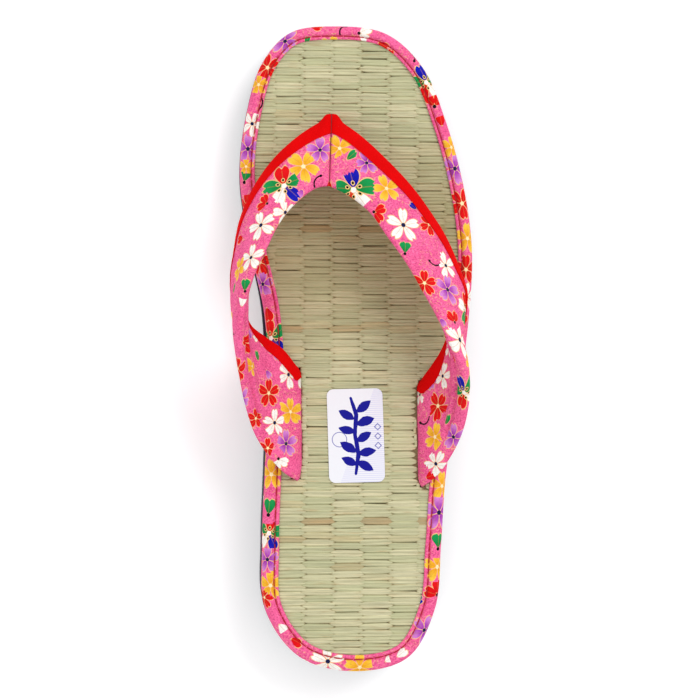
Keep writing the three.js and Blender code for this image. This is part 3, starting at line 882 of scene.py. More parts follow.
def settle(piece: Piece) -> None:
    """Moves the piece's place, turn and size into its mesh."""
    pick_up(piece)
    bpy.ops.object.transform_apply(location=True, rotation=True, scale=True)


def add_modifier(piece: Piece, kind: str, **settings: object) -> None:
    """Adds a modifier with those settings and applies it."""
    pick_up(piece)
    modifier = piece.modifiers.new(kind.lower(), kind)
    for key, value in settings.items():
        setattr(modifier, key, value)
    bpy.ops.object.modifier_apply(modifier=modifier.name)


def tidy_shell(piece: Piece, merge_mm: float = 0.002) -> None:
    """Closes the seams of a shell, turns its faces outwards and shades it smooth."""
    pick_up(piece)
    bpy.ops.object.mode_set(mode="EDIT")
    bpy.ops.mesh.select_all(action="SELECT")
    bpy.ops.mesh.remove_doubles(threshold=merge_mm * MM)
    bpy.ops.mesh.normals_make_consistent(inside=False)
    bpy.ops.object.mode_set(mode="OBJECT")
    bpy.ops.object.shade_smooth()


def read_all(items: bpy.types.bpy_prop_collection, key: str, width: int = 1,
             kind: type = float) -> Array:
    """One attribute of every item of a mesh, as rows of width numbers."""
    values = np.empty(len(items) * width, kind)
    items.foreach_get(key, values)
    return values.reshape(-1, width) if width > 1 else values


def skin(name: str, rings: Array, cloth: Array | None = None) -> Piece:
    """Shapes a primitive grid into a skin through rings of points and closes it.

    Args:
        name: The piece's name.
        rings: Points in mm, as rings by points by 3.
        cloth: Where each point lies on the flat cloth, in mm, as rings by points by 2.

    Returns:
        The closed piece.
    """
    clear_selection()
    count, around = rings.shape[:2]
    bpy.ops.mesh.primitive_grid_add(x_subdivisions=around - 1, y_subdivisions=count - 1, size=1.0)
    piece = name_new(name)
    mesh = piece.data
    mesh.vertices.foreach_set("co", (rings.reshape(-1, 3) * MM).ravel())
    if cloth is not None:
        corners = read_all(mesh.loops, "vertex_index", kind=int)
        mesh.uv_layers[0].name = CLOTH_MAP
        mesh.uv_layers[0].data.foreach_set("uv", cloth.reshape(-1, 2)[corners].ravel())
    mesh.update()
    tidy_shell(piece)
    return piece


def take_apart(unit: Piece) -> tuple[Array, list[tuple[int, ...]]]:
    """Points, in the scene's units, and faces of a unit piece, which is then thrown away."""
    points = read_all(unit.data.vertices, "co", 3)
    faces = [tuple(face.vertices) for face in unit.data.polygons]
    bpy.data.objects.remove(unit)
    return points, faces


def joined_copies(name: str, faces: list[tuple[int, ...]],
                  copies: list[Array]) -> Piece:
    """Joins copies of a unit piece into one.

    Args:
        name: The new piece's name.
        faces: The unit's faces.
        copies: The points of each copy, in mm.

    Returns:
        The piece, shaded smooth.
    """
    mesh = bpy.data.meshes.new(name)
    size = len(copies[0])
    all_faces = [tuple(corner + k * size for corner in face)
                 for k in range(len(copies)) for face in faces]
    mesh.from_pydata((np.concatenate(copies) * MM).tolist(), [], all_faces)
    piece = bpy.data.objects.new(name, mesh)
    bpy.context.scene.collection.objects.link(piece)
    pick_up(piece)
    bpy.ops.object.shade_smooth()
    return piece


def wrapped(rings: Array) -> Array:
    """Rings with their first point repeated at the end, so that the skin closes round."""
    return np.concatenate([rings, rings[:, :1]], 1)


def capped(rings: Array) -> Array:
    """Rings with an end at the middle of the first and of the last, so that the skin closes."""
    ends = [np.repeat(ring.mean(0, keepdims=True), len(ring), 0)[None] for ring in rings[[0, -1]]]
    return np.concatenate([ends[0], rings, ends[1]])


def hand_over(piece: Piece, material: Material, slot: str,
              *nodes: str) -> Piece:
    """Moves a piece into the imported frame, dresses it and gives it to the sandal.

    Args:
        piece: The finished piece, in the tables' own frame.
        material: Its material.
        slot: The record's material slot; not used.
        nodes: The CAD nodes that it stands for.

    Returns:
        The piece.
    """
    settle(piece)
    piece.data.transform(Matrix.Translation(frame_shift() * MM))
    piece.data.materials.clear()
    piece.data.materials.append(material)
    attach(piece, ROOT)
    if nodes:
        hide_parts(*nodes)
    LOG.info("%s: %d faces", piece.name, len(piece.data.polygons))
    return piece


# ---- print


SCATTERED = (
    Motif.WHITE, Motif.RED, Motif.GOLD, Motif.PURPLE, Motif.MIXED_BLUE, Motif.WHITE,
    Motif.GREEN_HEART, Motif.RED, Motif.LEAF, Motif.RED_PAIR, Motif.MIXED_RED, Motif.TWIG,
    Motif.GOLD, Motif.WHITE_PAIR, Motif.LILAC_PETAL, Motif.RED_PETAL,
)
# Motif coordinate of cloth that no motif reaches.
BEYOND_MOTIFS = 9.0


@dataclass
class ClothPrinter:
    """Prints sprigs on a cloth piece: each face takes the nearest motif's own coordinates."""

    sprigs: tuple[Sprig, ...]
    seed: int
    closed_length: float = 0.0
    spacing: float = 4.5
    row_share: float = 0.87
    scatter: float = 1.6
    sizes: tuple[float, float] = (4.4, 5.6)
    mixed_growth: float = 1.3
    clearance: float = 0.94
    reach: float = 1.6
    search: float = 0.9
    least_up: float = 0.08
    placed: list[tuple[Bloom, Array, Array, float]] = field(default_factory=list)

    def run(self, piece: Piece) -> None:
        """Prints the whole piece.

        Args:
            piece: A piece with a cloth map in mm.
        """
        mesh = piece.data
        self._read(mesh)
        for sprig in self.sprigs:
            self._place(sprig)
        self._fill()
        self._write(mesh)

    def _read(self, mesh: bpy.types.Mesh) -> None:
        """Reads each face's place, direction and cloth coordinates."""
        self.centres = read_all(mesh.polygons, "center", 3) / MM
        self.up = read_all(mesh.polygons, "normal", 3)[:, 2]
        self.starts = read_all(mesh.polygons, "loop_start", kind=int)
        self.totals = read_all(mesh.polygons, "loop_total", kind=int)
        self.uv = read_all(mesh.uv_layers[CLOTH_MAP].data, "uv", 2)
        corners = read_all(mesh.loops, "vertex_index", kind=int)
        self.corner_points = read_all(mesh.vertices, "co", 3)[corners] / MM
        self.face_uv = np.add.reduceat(self.uv, self.starts) / self.totals[:, None]

    def _place(self, sprig: Sprig) -> None:
        """Finds the face seen under a sprig from above and its bearing on the cloth."""
        away = np.hypot(self.centres[:, 0] - sprig.x, self.centres[:, 1] - sprig.y)
        seen = self.up > self.least_up
        close = np.flatnonzero(seen & (away < self.search))
        if len(close):
            face = close[self.centres[close, 2].argmax()]
        else:
            face = np.flatnonzero(seen)[away[seen].argmin()]
        chart = self._chart(face)
        bearing = math.radians(sprig.turn)
        aim = np.linalg.solve(chart[:2] + np.eye(2) * TINY, [math.cos(bearing), math.sin(bearing)])
        self._add(sprig.motif.value, self.face_uv[face], self._axes(chart, aim), sprig.size)

    def _chart(self, face: int) -> Array:
        """How a face's place changes along the cloth's two directions, as 3 by 2."""
        first, total = self.starts[face], self.totals[face]
        uv = self.uv[first:first + total] - self.face_uv[face]
        points = self.corner_points[first:first + total] - self.centres[face]
        return np.linalg.lstsq(uv, points, rcond=None)[0].T

    def _axes(self, chart: Array, aim: Array) -> Array:
        """Rows that turn cloth distances into true distances along and across a direction."""
        ahead = chart @ aim
        normal = np.cross(chart[:, 0], chart[:, 1])
        if min(np.linalg.norm(ahead), np.linalg.norm(normal)) < TINY:
            return np.eye(2)
        ahead = unit(ahead)
        normal = unit(normal) * (1 if normal[2] >= 0 else -1)
        return np.stack([ahead @ chart, np.cross(normal, ahead) @ chart])

    def _add(self, bloom: Bloom, middle: Array, axes: Array, size: float) -> None:
        """Keeps a placed motif, and its copies across the cloth's joint."""
        laps = (-1, 0, 1) if self.closed_length else (0,)
        for lap in laps:
            shifted = middle + np.array([lap * self.closed_length, 0.0])
            self.placed.append((bloom, shifted, axes, size))

    def _fill(self) -> None:
        """Scatters motifs over the cloth that the chart leaves bare."""
        dice = random.Random(self.seed)
        low, high = self.face_uv.min(0), self.face_uv.max(0)
        row = 0
        s = low[0]
        while s < high[0]:
            t = low[1] + (row % 2) * self.spacing / 2
            while t < high[1]:
                bloom = dice.choice(SCATTERED).value
                stray = [dice.uniform(-self.scatter, self.scatter) for _ in range(2)]
                spot = np.array([s, t]) + stray
                grown = self.mixed_growth if bloom.middle is Middle.STAMENS else 1.0
                size = dice.uniform(*self.sizes) * grown
                angle = dice.uniform(0, math.tau)
                face = self._free(spot, size)
                if face is not None:
                    aim = np.array([math.cos(angle), math.sin(angle)])
                    self._add(bloom, spot, self._axes(self._chart(face), aim), size)
                t += self.spacing
            s += self.spacing * self.row_share
            row += 1

    def _free(self, spot: Array, size: float) -> int | None:
        """The face under a scattered motif, if it is on the cloth and clear of those placed."""
        near = np.hypot(*(self.face_uv - spot).T)
        face = near.argmin()
        clear = all(np.hypot(*(middle - spot)) > self.clearance * (size + other)
                    for _, middle, _, other in self.placed)
        return int(face) if near[face] <= size and clear else None

    def _write(self, mesh: bpy.types.Mesh) -> None:
        """Writes each face's motif as a map and an attribute."""
        best = np.full(len(self.face_uv), np.inf)
        owner = np.full(len(self.face_uv), -1)
        for index, (_, middle, _, size) in enumerate(self.placed):
            reach = np.hypot(*(self.face_uv - middle).T) / size
            nearer = reach < best
            best[nearer] = reach[nearer]
            owner[nearer] = index
        form = np.zeros((len(self.face_uv), 3), np.float32)
        local = np.full((len(self.uv), 2), BEYOND_MOTIFS, np.float32)
        owner[best >= self.reach] = -1
        corner_owner = np.repeat(owner, self.totals)
        for index, (bloom, middle, axes, size) in enumerate(self.placed):
            form[owner == index] = (bloom.code(), bloom.width, int(bloom.middle))
            corners = corner_owner == index
            local[corners] = (self.uv[corners] - middle) @ axes.T / size
        layer = mesh.uv_layers.new(name=MOTIF_MAP)
        layer.data.foreach_set("uv", local.ravel())
        attribute = mesh.attributes.new(MOTIF_FORM, "FLOAT_VECTOR", "FACE")
        attribute.data.foreach_set("vector", form.ravel())


# ---- sole and footbed


def stations(count: int) -> Array:
    """Shares of the length from -1 to 1, closer together at the round ends."""
    almost = 0.9998
    return almost * np.sin(np.linspace(-math.pi / 2, math.pi / 2, count + 1))


@dataclass
class Sole:
    """The foam wedge, with cross grooves under the heel and under the ball."""

    inset: float = -0.1
    flare: float = 0.2
    bevel: float = 1.4
    bevel_in: float = 1.2
    rim: float = 6.0
    rim_share: float = 0.3
    groove_half: float = 1.0
    groove_draft: float = 0.5
    groove_depth: float = 1.5
    groove_pitch: float = 10.0
    groove_rows: tuple[tuple[float, int], ...] = ((-107.0, 6), (18.0, 6))
    waist: tuple[float, float] = (-4.0, 26.0)
    waist_flare: float = 0.9
    steps: int = 150
    bevel_steps: int = 5
    wall_steps: int = 8

    def grooves(self) -> list[float]:
        """Stations of the grooves."""
        return [first + k * self.groove_pitch for first, count in self.groove_rows
                for k in range(count)]

    def groove_depth_at(self, y: Array) -> Array:
        """How deep the grooves are at stations y."""
        away = np.abs(y[:, None] - np.array(self.grooves())).min(1)
        flank = (self.groove_half - away) / self.groove_draft
        return np.clip(flank, 0, 1) * self.groove_depth

    def rows(self) -> Array:
        """Stations of the skin: even ones, and those at each groove's edges."""
        low, high = OUTLINE.ends(self.inset + self.flare + self.bevel_in)
        plain = low + (stations(self.steps) + 1) * (high - low) / 2
        edges = np.array([centre + side * off for centre in self.grooves() for side in (-1, 1)
                          for off in (self.groove_half, self.groove_half - self.groove_draft)])
        clear = np.abs(plain[:, None] - edges[None]).min(1) > self.groove_draft
        return np.sort(np.concatenate([plain[clear], edges]))

    def build(self) -> Piece:
        """Builds the sole's skin, one ring for each station."""
        foot_inset = self.inset + self.flare + self.bevel_in
        y = self.rows()
        low, high = OUTLINE.ends(foot_inset)
        share = 2 * (y - low) / (high - low) - 1
        inner, outer = self._breadth(y, foot_inset)
        ground = ground_height(y)
        rim = np.minimum(self.rim, (outer - inner) * self.rim_share)
        floor = ground + self.groove_depth_at(y)
        ring = [(inner, y, ground), (inner + rim, y, ground), (inner + rim + self.groove_draft, y, floor),
                (outer - rim - self.groove_draft, y, floor), (outer - rim, y, ground), (outer, y, ground)]
        side = []
        for k in range(1, self.bevel_steps + 1):
            turn = math.pi / 2 * k / self.bevel_steps
            inset = self.inset + self.flare + self.bevel_in * (1 - math.sin(turn))
            side.append((inset, 0.0, self.bevel * (1 - math.cos(turn))))
        for k in range(1, self.wall_steps + 1):
            rise = k / self.wall_steps
            side.append((self.inset + self.flare * (1 - rise), rise, self.bevel * (1 - rise)))
        walls = [self._wall(share, *step) for step in side]
        ring += [(outer, y, z) for _, outer, y, z in walls]
        ring += [(inner, y, z) for inner, _, y, z in reversed(walls)]
        rings = np.stack([np.stack(point, 1) for point in ring], 1)
        ends = rings[[0, -1]].copy()
        ends[..., 0] = ends[..., 0].mean(1, keepdims=True)
        piece = skin("foam_sole", wrapped(np.concatenate([ends[:1], rings, ends[1:]])))
        pick_up(piece)
        bpy.ops.object.shade_smooth_by_angle(angle=math.radians(35))
        return piece

    def _breadth(self, y: Array, inset: float) -> tuple[Array, Array]:
        """Inner and outer x at stations y, with the waist filled out a little."""
        inner, outer = OUTLINE.breadth(y, inset)
        return inner - self.waist_flare * bell(y, *self.waist), outer

    def _wall(self, share: Array, inset: float, rise: float, over: float) -> tuple[Array, ...]:
        """Inner x, outer x, y and z of the wall's line at a rise from the ground to the top."""
        low, high = OUTLINE.ends(inset)
        y = low + (share + 1) * (high - low) / 2
        inner, outer = self._breadth(y, inset)
        bottom = ground_height(y)
        top = footbed_height(y) - BOARD_THICK - PIECE_GAP
        return inner, outer, y, bottom + over + (top - bottom) * rise

    def make(self) -> None:
        """Builds, dresses and hands over the sole."""
        hand_over(self.build(), FoamFinish().material(), "sole_foam", "outsole")


@dataclass
class Footbed:
    """The straw board and the rush woven over it, with a slot at each strap and the post's hole."""

    board_steps: int = 110
    drop: float = 0.95
    column: float = 11.2
    pitch: float = 2.7
    first_column: float = -9.3
    lap: float = 1.55
    bundle_rise: float = 1.12
    slot_clear: float = 0.15
    slot_bevel: float = 1.5
    cutter_height: float = 60.0
    # The post's hole: its station, half width and half length, in the board and in the rush.
    hole_y: float = 82.4
    board_hole: tuple[float, float] = (4.1, 5.9)
    rush_hole: tuple[float, float] = (4.2, 6.2)
    rush_inset: float = 0.25
    rush_gap: float = 0.1
    shortest_span: float = 1.2
    bundle_widths: tuple[float, float] = (1.04, 1.24)
    bundle_rises: tuple[float, float] = (0.84, 1.06)
    row_drift: float = 0.06
    end_stray: float = 0.22
    side_stray: float = 0.09
    skew: float = 0.1
    waver: float = 0.75
    waver_length: float = 21.0
    # Tones of rush, from pale green at 0 to tan at 1, and how much rows and bundles differ.
    usual_tone: float = 0.4
    tone_drift: float = 0.08
    row_tone: float = 0.15
    bundle_tone: float = 0.1
    brown_step: float = 0.4
    brown_share: float = 0.05
    weave_seed: int = 11
    # Stations along one bundle, each with the width and the rise there.
    along: tuple[tuple[float, float, float], ...] = (
        (-1.0, 0.06, 0.12), (-0.82, 0.68, 0.78), (-0.55, 1.0, 1.0), (0.55, 1.0, 1.0),
        (0.82, 0.68, 0.78), (1.0, 0.06, 0.12),
    )
    # Section of one bundle, as shares of its half width and of its rise: two stems side by side.
    section: tuple[tuple[float, float], ...] = (
        (-1.0, 0.0), (-0.86, 0.62), (-0.62, 0.98), (-0.3, 0.9), (-0.04, 0.5), (0.24, 0.86),
        (0.56, 0.95), (0.86, 0.56), (1.0, 0.0),
    )

    def slots(self) -> list[tuple[float, float, float, float]]:
        """Lowest and highest x and y of each strap's slot."""
        found = []
        for rows in (INNER_STRAP, OUTER_STRAP):
            top = rows[1]
            half = top.thick / 2 + self.slot_clear
            found.append((top.px - half, top.px + half, top.qy - self.slot_clear,
                          top.py + self.slot_clear))
        return found

    def board(self) -> Piece:
        """Builds the board and cuts its slots and hole."""
        low, high = OUTLINE.ends(BOARD_INSET)
        y = low + (stations(self.board_steps) + 1) * (high - low) / 2
        inner, outer = OUTLINE.breadth(y, BOARD_INSET)
        top = footbed_height(y)
        corners = [(inner, y, top - BOARD_THICK), (outer, y, top - BOARD_THICK),
                   (outer, y, top - self.drop), (inner, y, top - self.drop)]
        rings = np.stack([np.stack(point, 1) for point in corners], 1)
        piece = skin("straw_board", capped(wrapped(rings)))
        for low_x, high_x, low_y, high_y in self.slots():
            clear_selection()
            middle = Vector(((low_x + high_x) / 2, (low_y + high_y) / 2, HEEL_HEIGHT))
            bpy.ops.mesh.primitive_cube_add(size=1.0, location=middle * MM)
            cutter = bpy.context.active_object
            cutter.scale = Vector((high_x - low_x, high_y - low_y, self.cutter_height)) * MM
            settle(cutter)
            add_modifier(cutter, "BEVEL", width=self.slot_bevel * MM, segments=4)
            self._cut(piece, cutter)
        clear_selection()
        middle = Vector((Post.x, self.hole_y, BALL_HEIGHT))
        bpy.ops.mesh.primitive_cylinder_add(vertices=40, radius=1.0, depth=self.cutter_height * MM,
                                            location=middle * MM)
        cutter = bpy.context.active_object
        half_wide, half_long = self.board_hole
        cutter.scale = Vector((half_wide * MM, half_long * MM, 1.0))
        settle(cutter)
        self._cut(piece, cutter)
        pick_up(piece)
        bpy.ops.object.shade_smooth_by_angle(angle=math.radians(30))
        return piece

    def _cut(self, piece: Piece, cutter: Piece) -> None:
        """Cuts a primitive out of the board and throws it away."""
        add_modifier(piece, "BOOLEAN", object=cutter, operation="DIFFERENCE", solver="EXACT")
        bpy.data.objects.remove(cutter)

    def bundle(self) -> Piece:
        """Models one bundle of rush, two units long and wide and one high."""
        rings = np.array([[(station, across * wide, up * high) for across, up in self.section]
                          for station, wide, high in self.along])
        return skin("rush_bundle", capped(wrapped(rings)))

    def spans(self, y: float, parity: int) -> list[tuple[float, float]]:
        """Both ends of each stretch of rush in one row."""
        inset = BOARD_INSET + self.rush_inset
        inner, outer = (float(side[0]) for side in OUTLINE.breadth(np.array([y]), inset))
        if math.isnan(inner):
            return []
        found = []
        first = math.floor((inner - self.first_column) / self.column) - 1
        last = math.ceil((outer - self.first_column) / self.column) + 1
        for index in range(first + (first + parity) % 2, last, 2):
            left = self.first_column + index * self.column
            low = left + self._waver(index, y) - self.lap
            high = left + self.column + self._waver(index + 1, y) + self.lap
            found += self._clear(max(low, inner), min(high, outer), y)
        return [span for span in found if span[1] - span[0] > self.shortest_span]

    def _clear(self, low: float, high: float, y: float) -> list[tuple[float, float]]:
        """Parts of a stretch that stay out of the slots and the hole."""
        parts = [(low, high)]
        walls = []
        for rows in (INNER_STRAP, OUTER_STRAP):
            top = rows[1]
            share = (top.py + PIECE_GAP - y) / (top.py - top.qy + 2 * PIECE_GAP)
            if 0 < share < 1:
                half = top.thick / 2 * math.sqrt(1 - abs(2 * share - 1) ** SLOT_POWER) + self.rush_gap
                walls.append((top.px - half, top.px + half))
        half_wide, half_long = self.rush_hole
        off = abs(y - self.hole_y) / half_long
        if off < 1:
            half = half_wide * math.sqrt(1 - off * off)
            walls.append((Post.x - half, Post.x + half))
        for a, b in walls:
            cut = []
            for start, end in parts:
                cut += [(start, min(end, a)), (max(start, b), end)]
            parts = [(start, end) for start, end in cut if end > start]
        return parts

    def _waver(self, boundary: int, y: float) -> float:
        """How far a boundary between two columns strays at a row."""
        return self.waver * noise.noise(Vector((boundary * 5.3, y / self.waver_length, 0.4)))

    def weave(self) -> Piece:
        """Copies the bundle along rows and columns and joins the copies."""
        points, faces = take_apart(self.bundle())
        points = points / MM
        dice = random.Random(self.weave_seed)
        parts, tones_and_shade = [], []
        base = 0.0
        for row in range(int(2 * HALF_LENGTH / self.pitch) + 4):
            base = 0.5 * base + dice.gauss(0, self.tone_drift)
            drift = dice.gauss(0, self.row_drift)
            for parity in (0, 1):
                y = -HALF_LENGTH + (row + 0.5 * parity) * self.pitch + drift
                shade = self.usual_tone + base + dice.gauss(0, self.row_tone)
                shade += self.brown_step if dice.random() < self.brown_share else 0.0
                for low, high in self.spans(y, parity):
                    wide = self.pitch * dice.uniform(*self.bundle_widths) / 2
                    rise = self.bundle_rise * dice.uniform(*self.bundle_rises)
                    part = points * ((high - low) / 2, wide, rise)
                    part[:, 0] += (low + high) / 2 + dice.gauss(0, self.end_stray)
                    part[:, 1] += y + dice.gauss(0, self.skew) * points[:, 0]
                    part[:, 1] += dice.gauss(0, self.side_stray)
                    part[:, 2] += footbed_height(part[:, 1]) - self.drop
                    tone = np.clip(shade + dice.gauss(0, self.bundle_tone), 0.0, 1.0)
                    parts.append(part)
                    # Each point's tone, its place along the bundle and its height in it: the height steers
                    # the painted shade in the weave's gaps, the place along darkens the bundle's ends.
                    tones_and_shade.append(np.stack([np.full(len(points), tone), np.abs(points[:, 0]),
                                           np.clip(points[:, 2], 0, 1)], 1))
        piece = joined_copies("rush_weave", faces, parts)
        attribute = piece.data.attributes.new(STEM_TONE_AND_SHADE, "FLOAT_VECTOR", "POINT")
        attribute.data.foreach_set("vector", np.concatenate(tones_and_shade).astype(np.float32).ravel())
        return piece

    def make(self) -> None:
        """Builds, dresses and hands over the board and the rush."""
        hand_over(self.board(), BoardFinish().material(), "rush_mat", "insole")
        hand_over(self.weave(), RushFinish().material(), "rush_mat")


# ---- binding


@dataclass
class Binding:
    """The padded cloth that caps the footbed's edge, sewn down along its inner lip."""

    wall: float = 1.9
    heel_reach: float = 6.6
    toe_reach: float = 5.4
    steps: int = 760
    section_steps: int = 46
    stitch_pitch: float = 4.4
    stitch_length: float = 4.15
    stitch_thick: float = 0.5
    stitch_lift: float = 0.68
    stitch_sag: float = 0.24
    groove_share: float = 0.64
    pucker_depth: float = 0.22
    lump_rise: float = 0.2
    lump_size: float = 9.0
    # Section: how far in (as a length, or a share of the reach where over is set) and up.
    section: tuple[tuple[str, float, float], ...] = (
        ("in", 1.9, -7.0), ("in", 0.8, -7.0), ("in", 0.12, -5.6), ("in", 0.0, -3.2),
        ("in", 0.25, -0.9), ("in", 1.0, 0.75), ("over", 0.1, 1.6), ("over", 0.3, 1.82),
        ("over", 0.5, 1.5), ("over", 0.64, 0.5), ("over", 0.78, 1.15), ("over", 0.92, 1.05),
        ("over", 1.0, 0.62), ("over", 1.0, 0.34), ("over", 0.8, 0.28), ("in", 1.9, 0.28),
    )

    def reach(self, y: Array) -> Array:
        """How far the binding covers the footbed at stations y."""
        share = (np.asarray(y) + HALF_LENGTH) / (2 * HALF_LENGTH)
        return self.heel_reach + (self.toe_reach - self.heel_reach) * share

    def section_curve(self) -> tuple[Array, Array, Array]:
        """The section's points as a fixed inset, a share of the reach and a height."""
        table = []
        for kind, inward, up in self.section:
            if kind == "in":
                table.append((inward, 0.0, up))
            else:
                table.append((self.wall * (1 - inward), inward, up))
        table = np.array(table)
        curve = RowCurve(table, closed=True)
        return tuple(curve.at(np.linspace(0, curve.spans, self.section_steps + 1)).T)

    def build(self) -> Piece:
        """Builds the binding's skin round the outline."""
        fixed, over, up = self.section_curve()
        points, out, arc = OUTLINE.ring(self.steps)
        reach = self.reach(points[:, 1])
        inward = fixed[None] + over[None] * reach[:, None]
        xy = points[:, None] - out[:, None] * inward[..., None]
        stitched = 0.5 + 0.5 * np.cos(math.tau * arc / self.stitch_pitch)
        pucker = -self.pucker_depth * stitched[:, None] * bell(over, self.groove_share, 0.16)[None]
        swell = np.array([noise.noise(Vector((*at / self.lump_size, 0.0))) for at in points])
        puff = self.lump_rise * swell[:, None] * bell(over, 0.25, 0.3)[None] * (up > 0.3)
        z = footbed_height(xy[..., 1]) + up[None] + pucker + puff
        rings = np.concatenate([xy, z[..., None]], 2)
        rings = np.concatenate([rings, rings[:1]])
        across = travelled(np.stack([fixed + over * reach.mean(), up], 1))
        arc = np.append(arc, OUTLINE.length)
        cloth = np.stack(np.broadcast_arrays(arc[:, None], across[None]), 2)
        return skin("edge_binding_cloth", rings, cloth)

    def stitches(self) -> Piece:
        """Models one stitch and copies it along the groove."""
        clear_selection()
        bpy.ops.mesh.primitive_uv_sphere_add(segments=8, ring_count=6, radius=1.0)
        unit = name_new("stitch")
        unit.rotation_euler = (0.0, math.pi / 2, 0.0)
        settle(unit)
        points, faces = take_apart(unit)
        blunt = np.sign(points[:, 0]) * np.abs(points[:, 0]) ** 0.7
        count = int(OUTLINE.length / self.stitch_pitch)
        parts = []
        for k in range(count):
            middle = (k + 0.5) * OUTLINE.length / count
            run = (middle + blunt * self.stitch_length / 2) / OUTLINE.length * Outline.DENSE
            pick = run.astype(int) % Outline.DENSE
            at, out = OUTLINE.points[pick], OUTLINE.out[pick]
            inward = self.wall * (1 - self.groove_share) + self.reach(at[:, 1]) * self.groove_share
            inward = inward + points[:, 1] * self.stitch_thick / 2
            xy = at - out * inward[:, None]
            lift = self.stitch_lift + points[:, 2] * self.stitch_thick / 2 - self.stitch_sag * blunt**4
            parts.append(np.column_stack([xy, footbed_height(xy[:, 1]) + lift]))
        return joined_copies("binding_stitches", faces, parts)

    def make(self) -> None:
        """Builds, prints, dresses and hands over the binding and its stitches."""
        cloth = self.build()
        ClothPrinter(BINDING_PRINT, seed=5, closed_length=OUTLINE.length).run(cloth)
        hand_over(cloth, PrintFinish().material("binding_print"), "print_cloth", "edge_binding")
        thread = ThreadFinish("red_thread", (0.55, 0.005, 0.018)).material()
        hand_over(self.stitches(), thread, "red_cloth")


# ---- upper


class Face(Enum):
    """The two faces of a strap."""

    TOP = 1.0
    FOOT = -1.0


@dataclass(frozen=True)
class Crease:
    """A soft trough along a strap.

    face is where it lies, rows where it starts and ends, from_rear its distance from the rear
    edge, and depth and reach its size, in mm.
    """

    face: Face
    rows: tuple[float, float]
    from_rear: float
    depth: float
    reach: float


INNER_CREASES = (
    Crease(Face.FOOT, (2.4, 7.6), 5.4, 2.3, 0.8),
    Crease(Face.FOOT, (3.0, 5.4), 13.0, 0.6, 2.2),
    Crease(Face.TOP, (5.0, 8.6), 12.0, 0.5, 2.6),
)
OUTER_CREASES = (
    Crease(Face.FOOT, (2.2, 7.8), 7.0, 2.3, 0.8),
    Crease(Face.FOOT, (3.2, 5.6), 15.0, 0.6, 2.2),
    Crease(Face.TOP, (4.8, 8.4), 11.0, 0.5, 2.6),
)


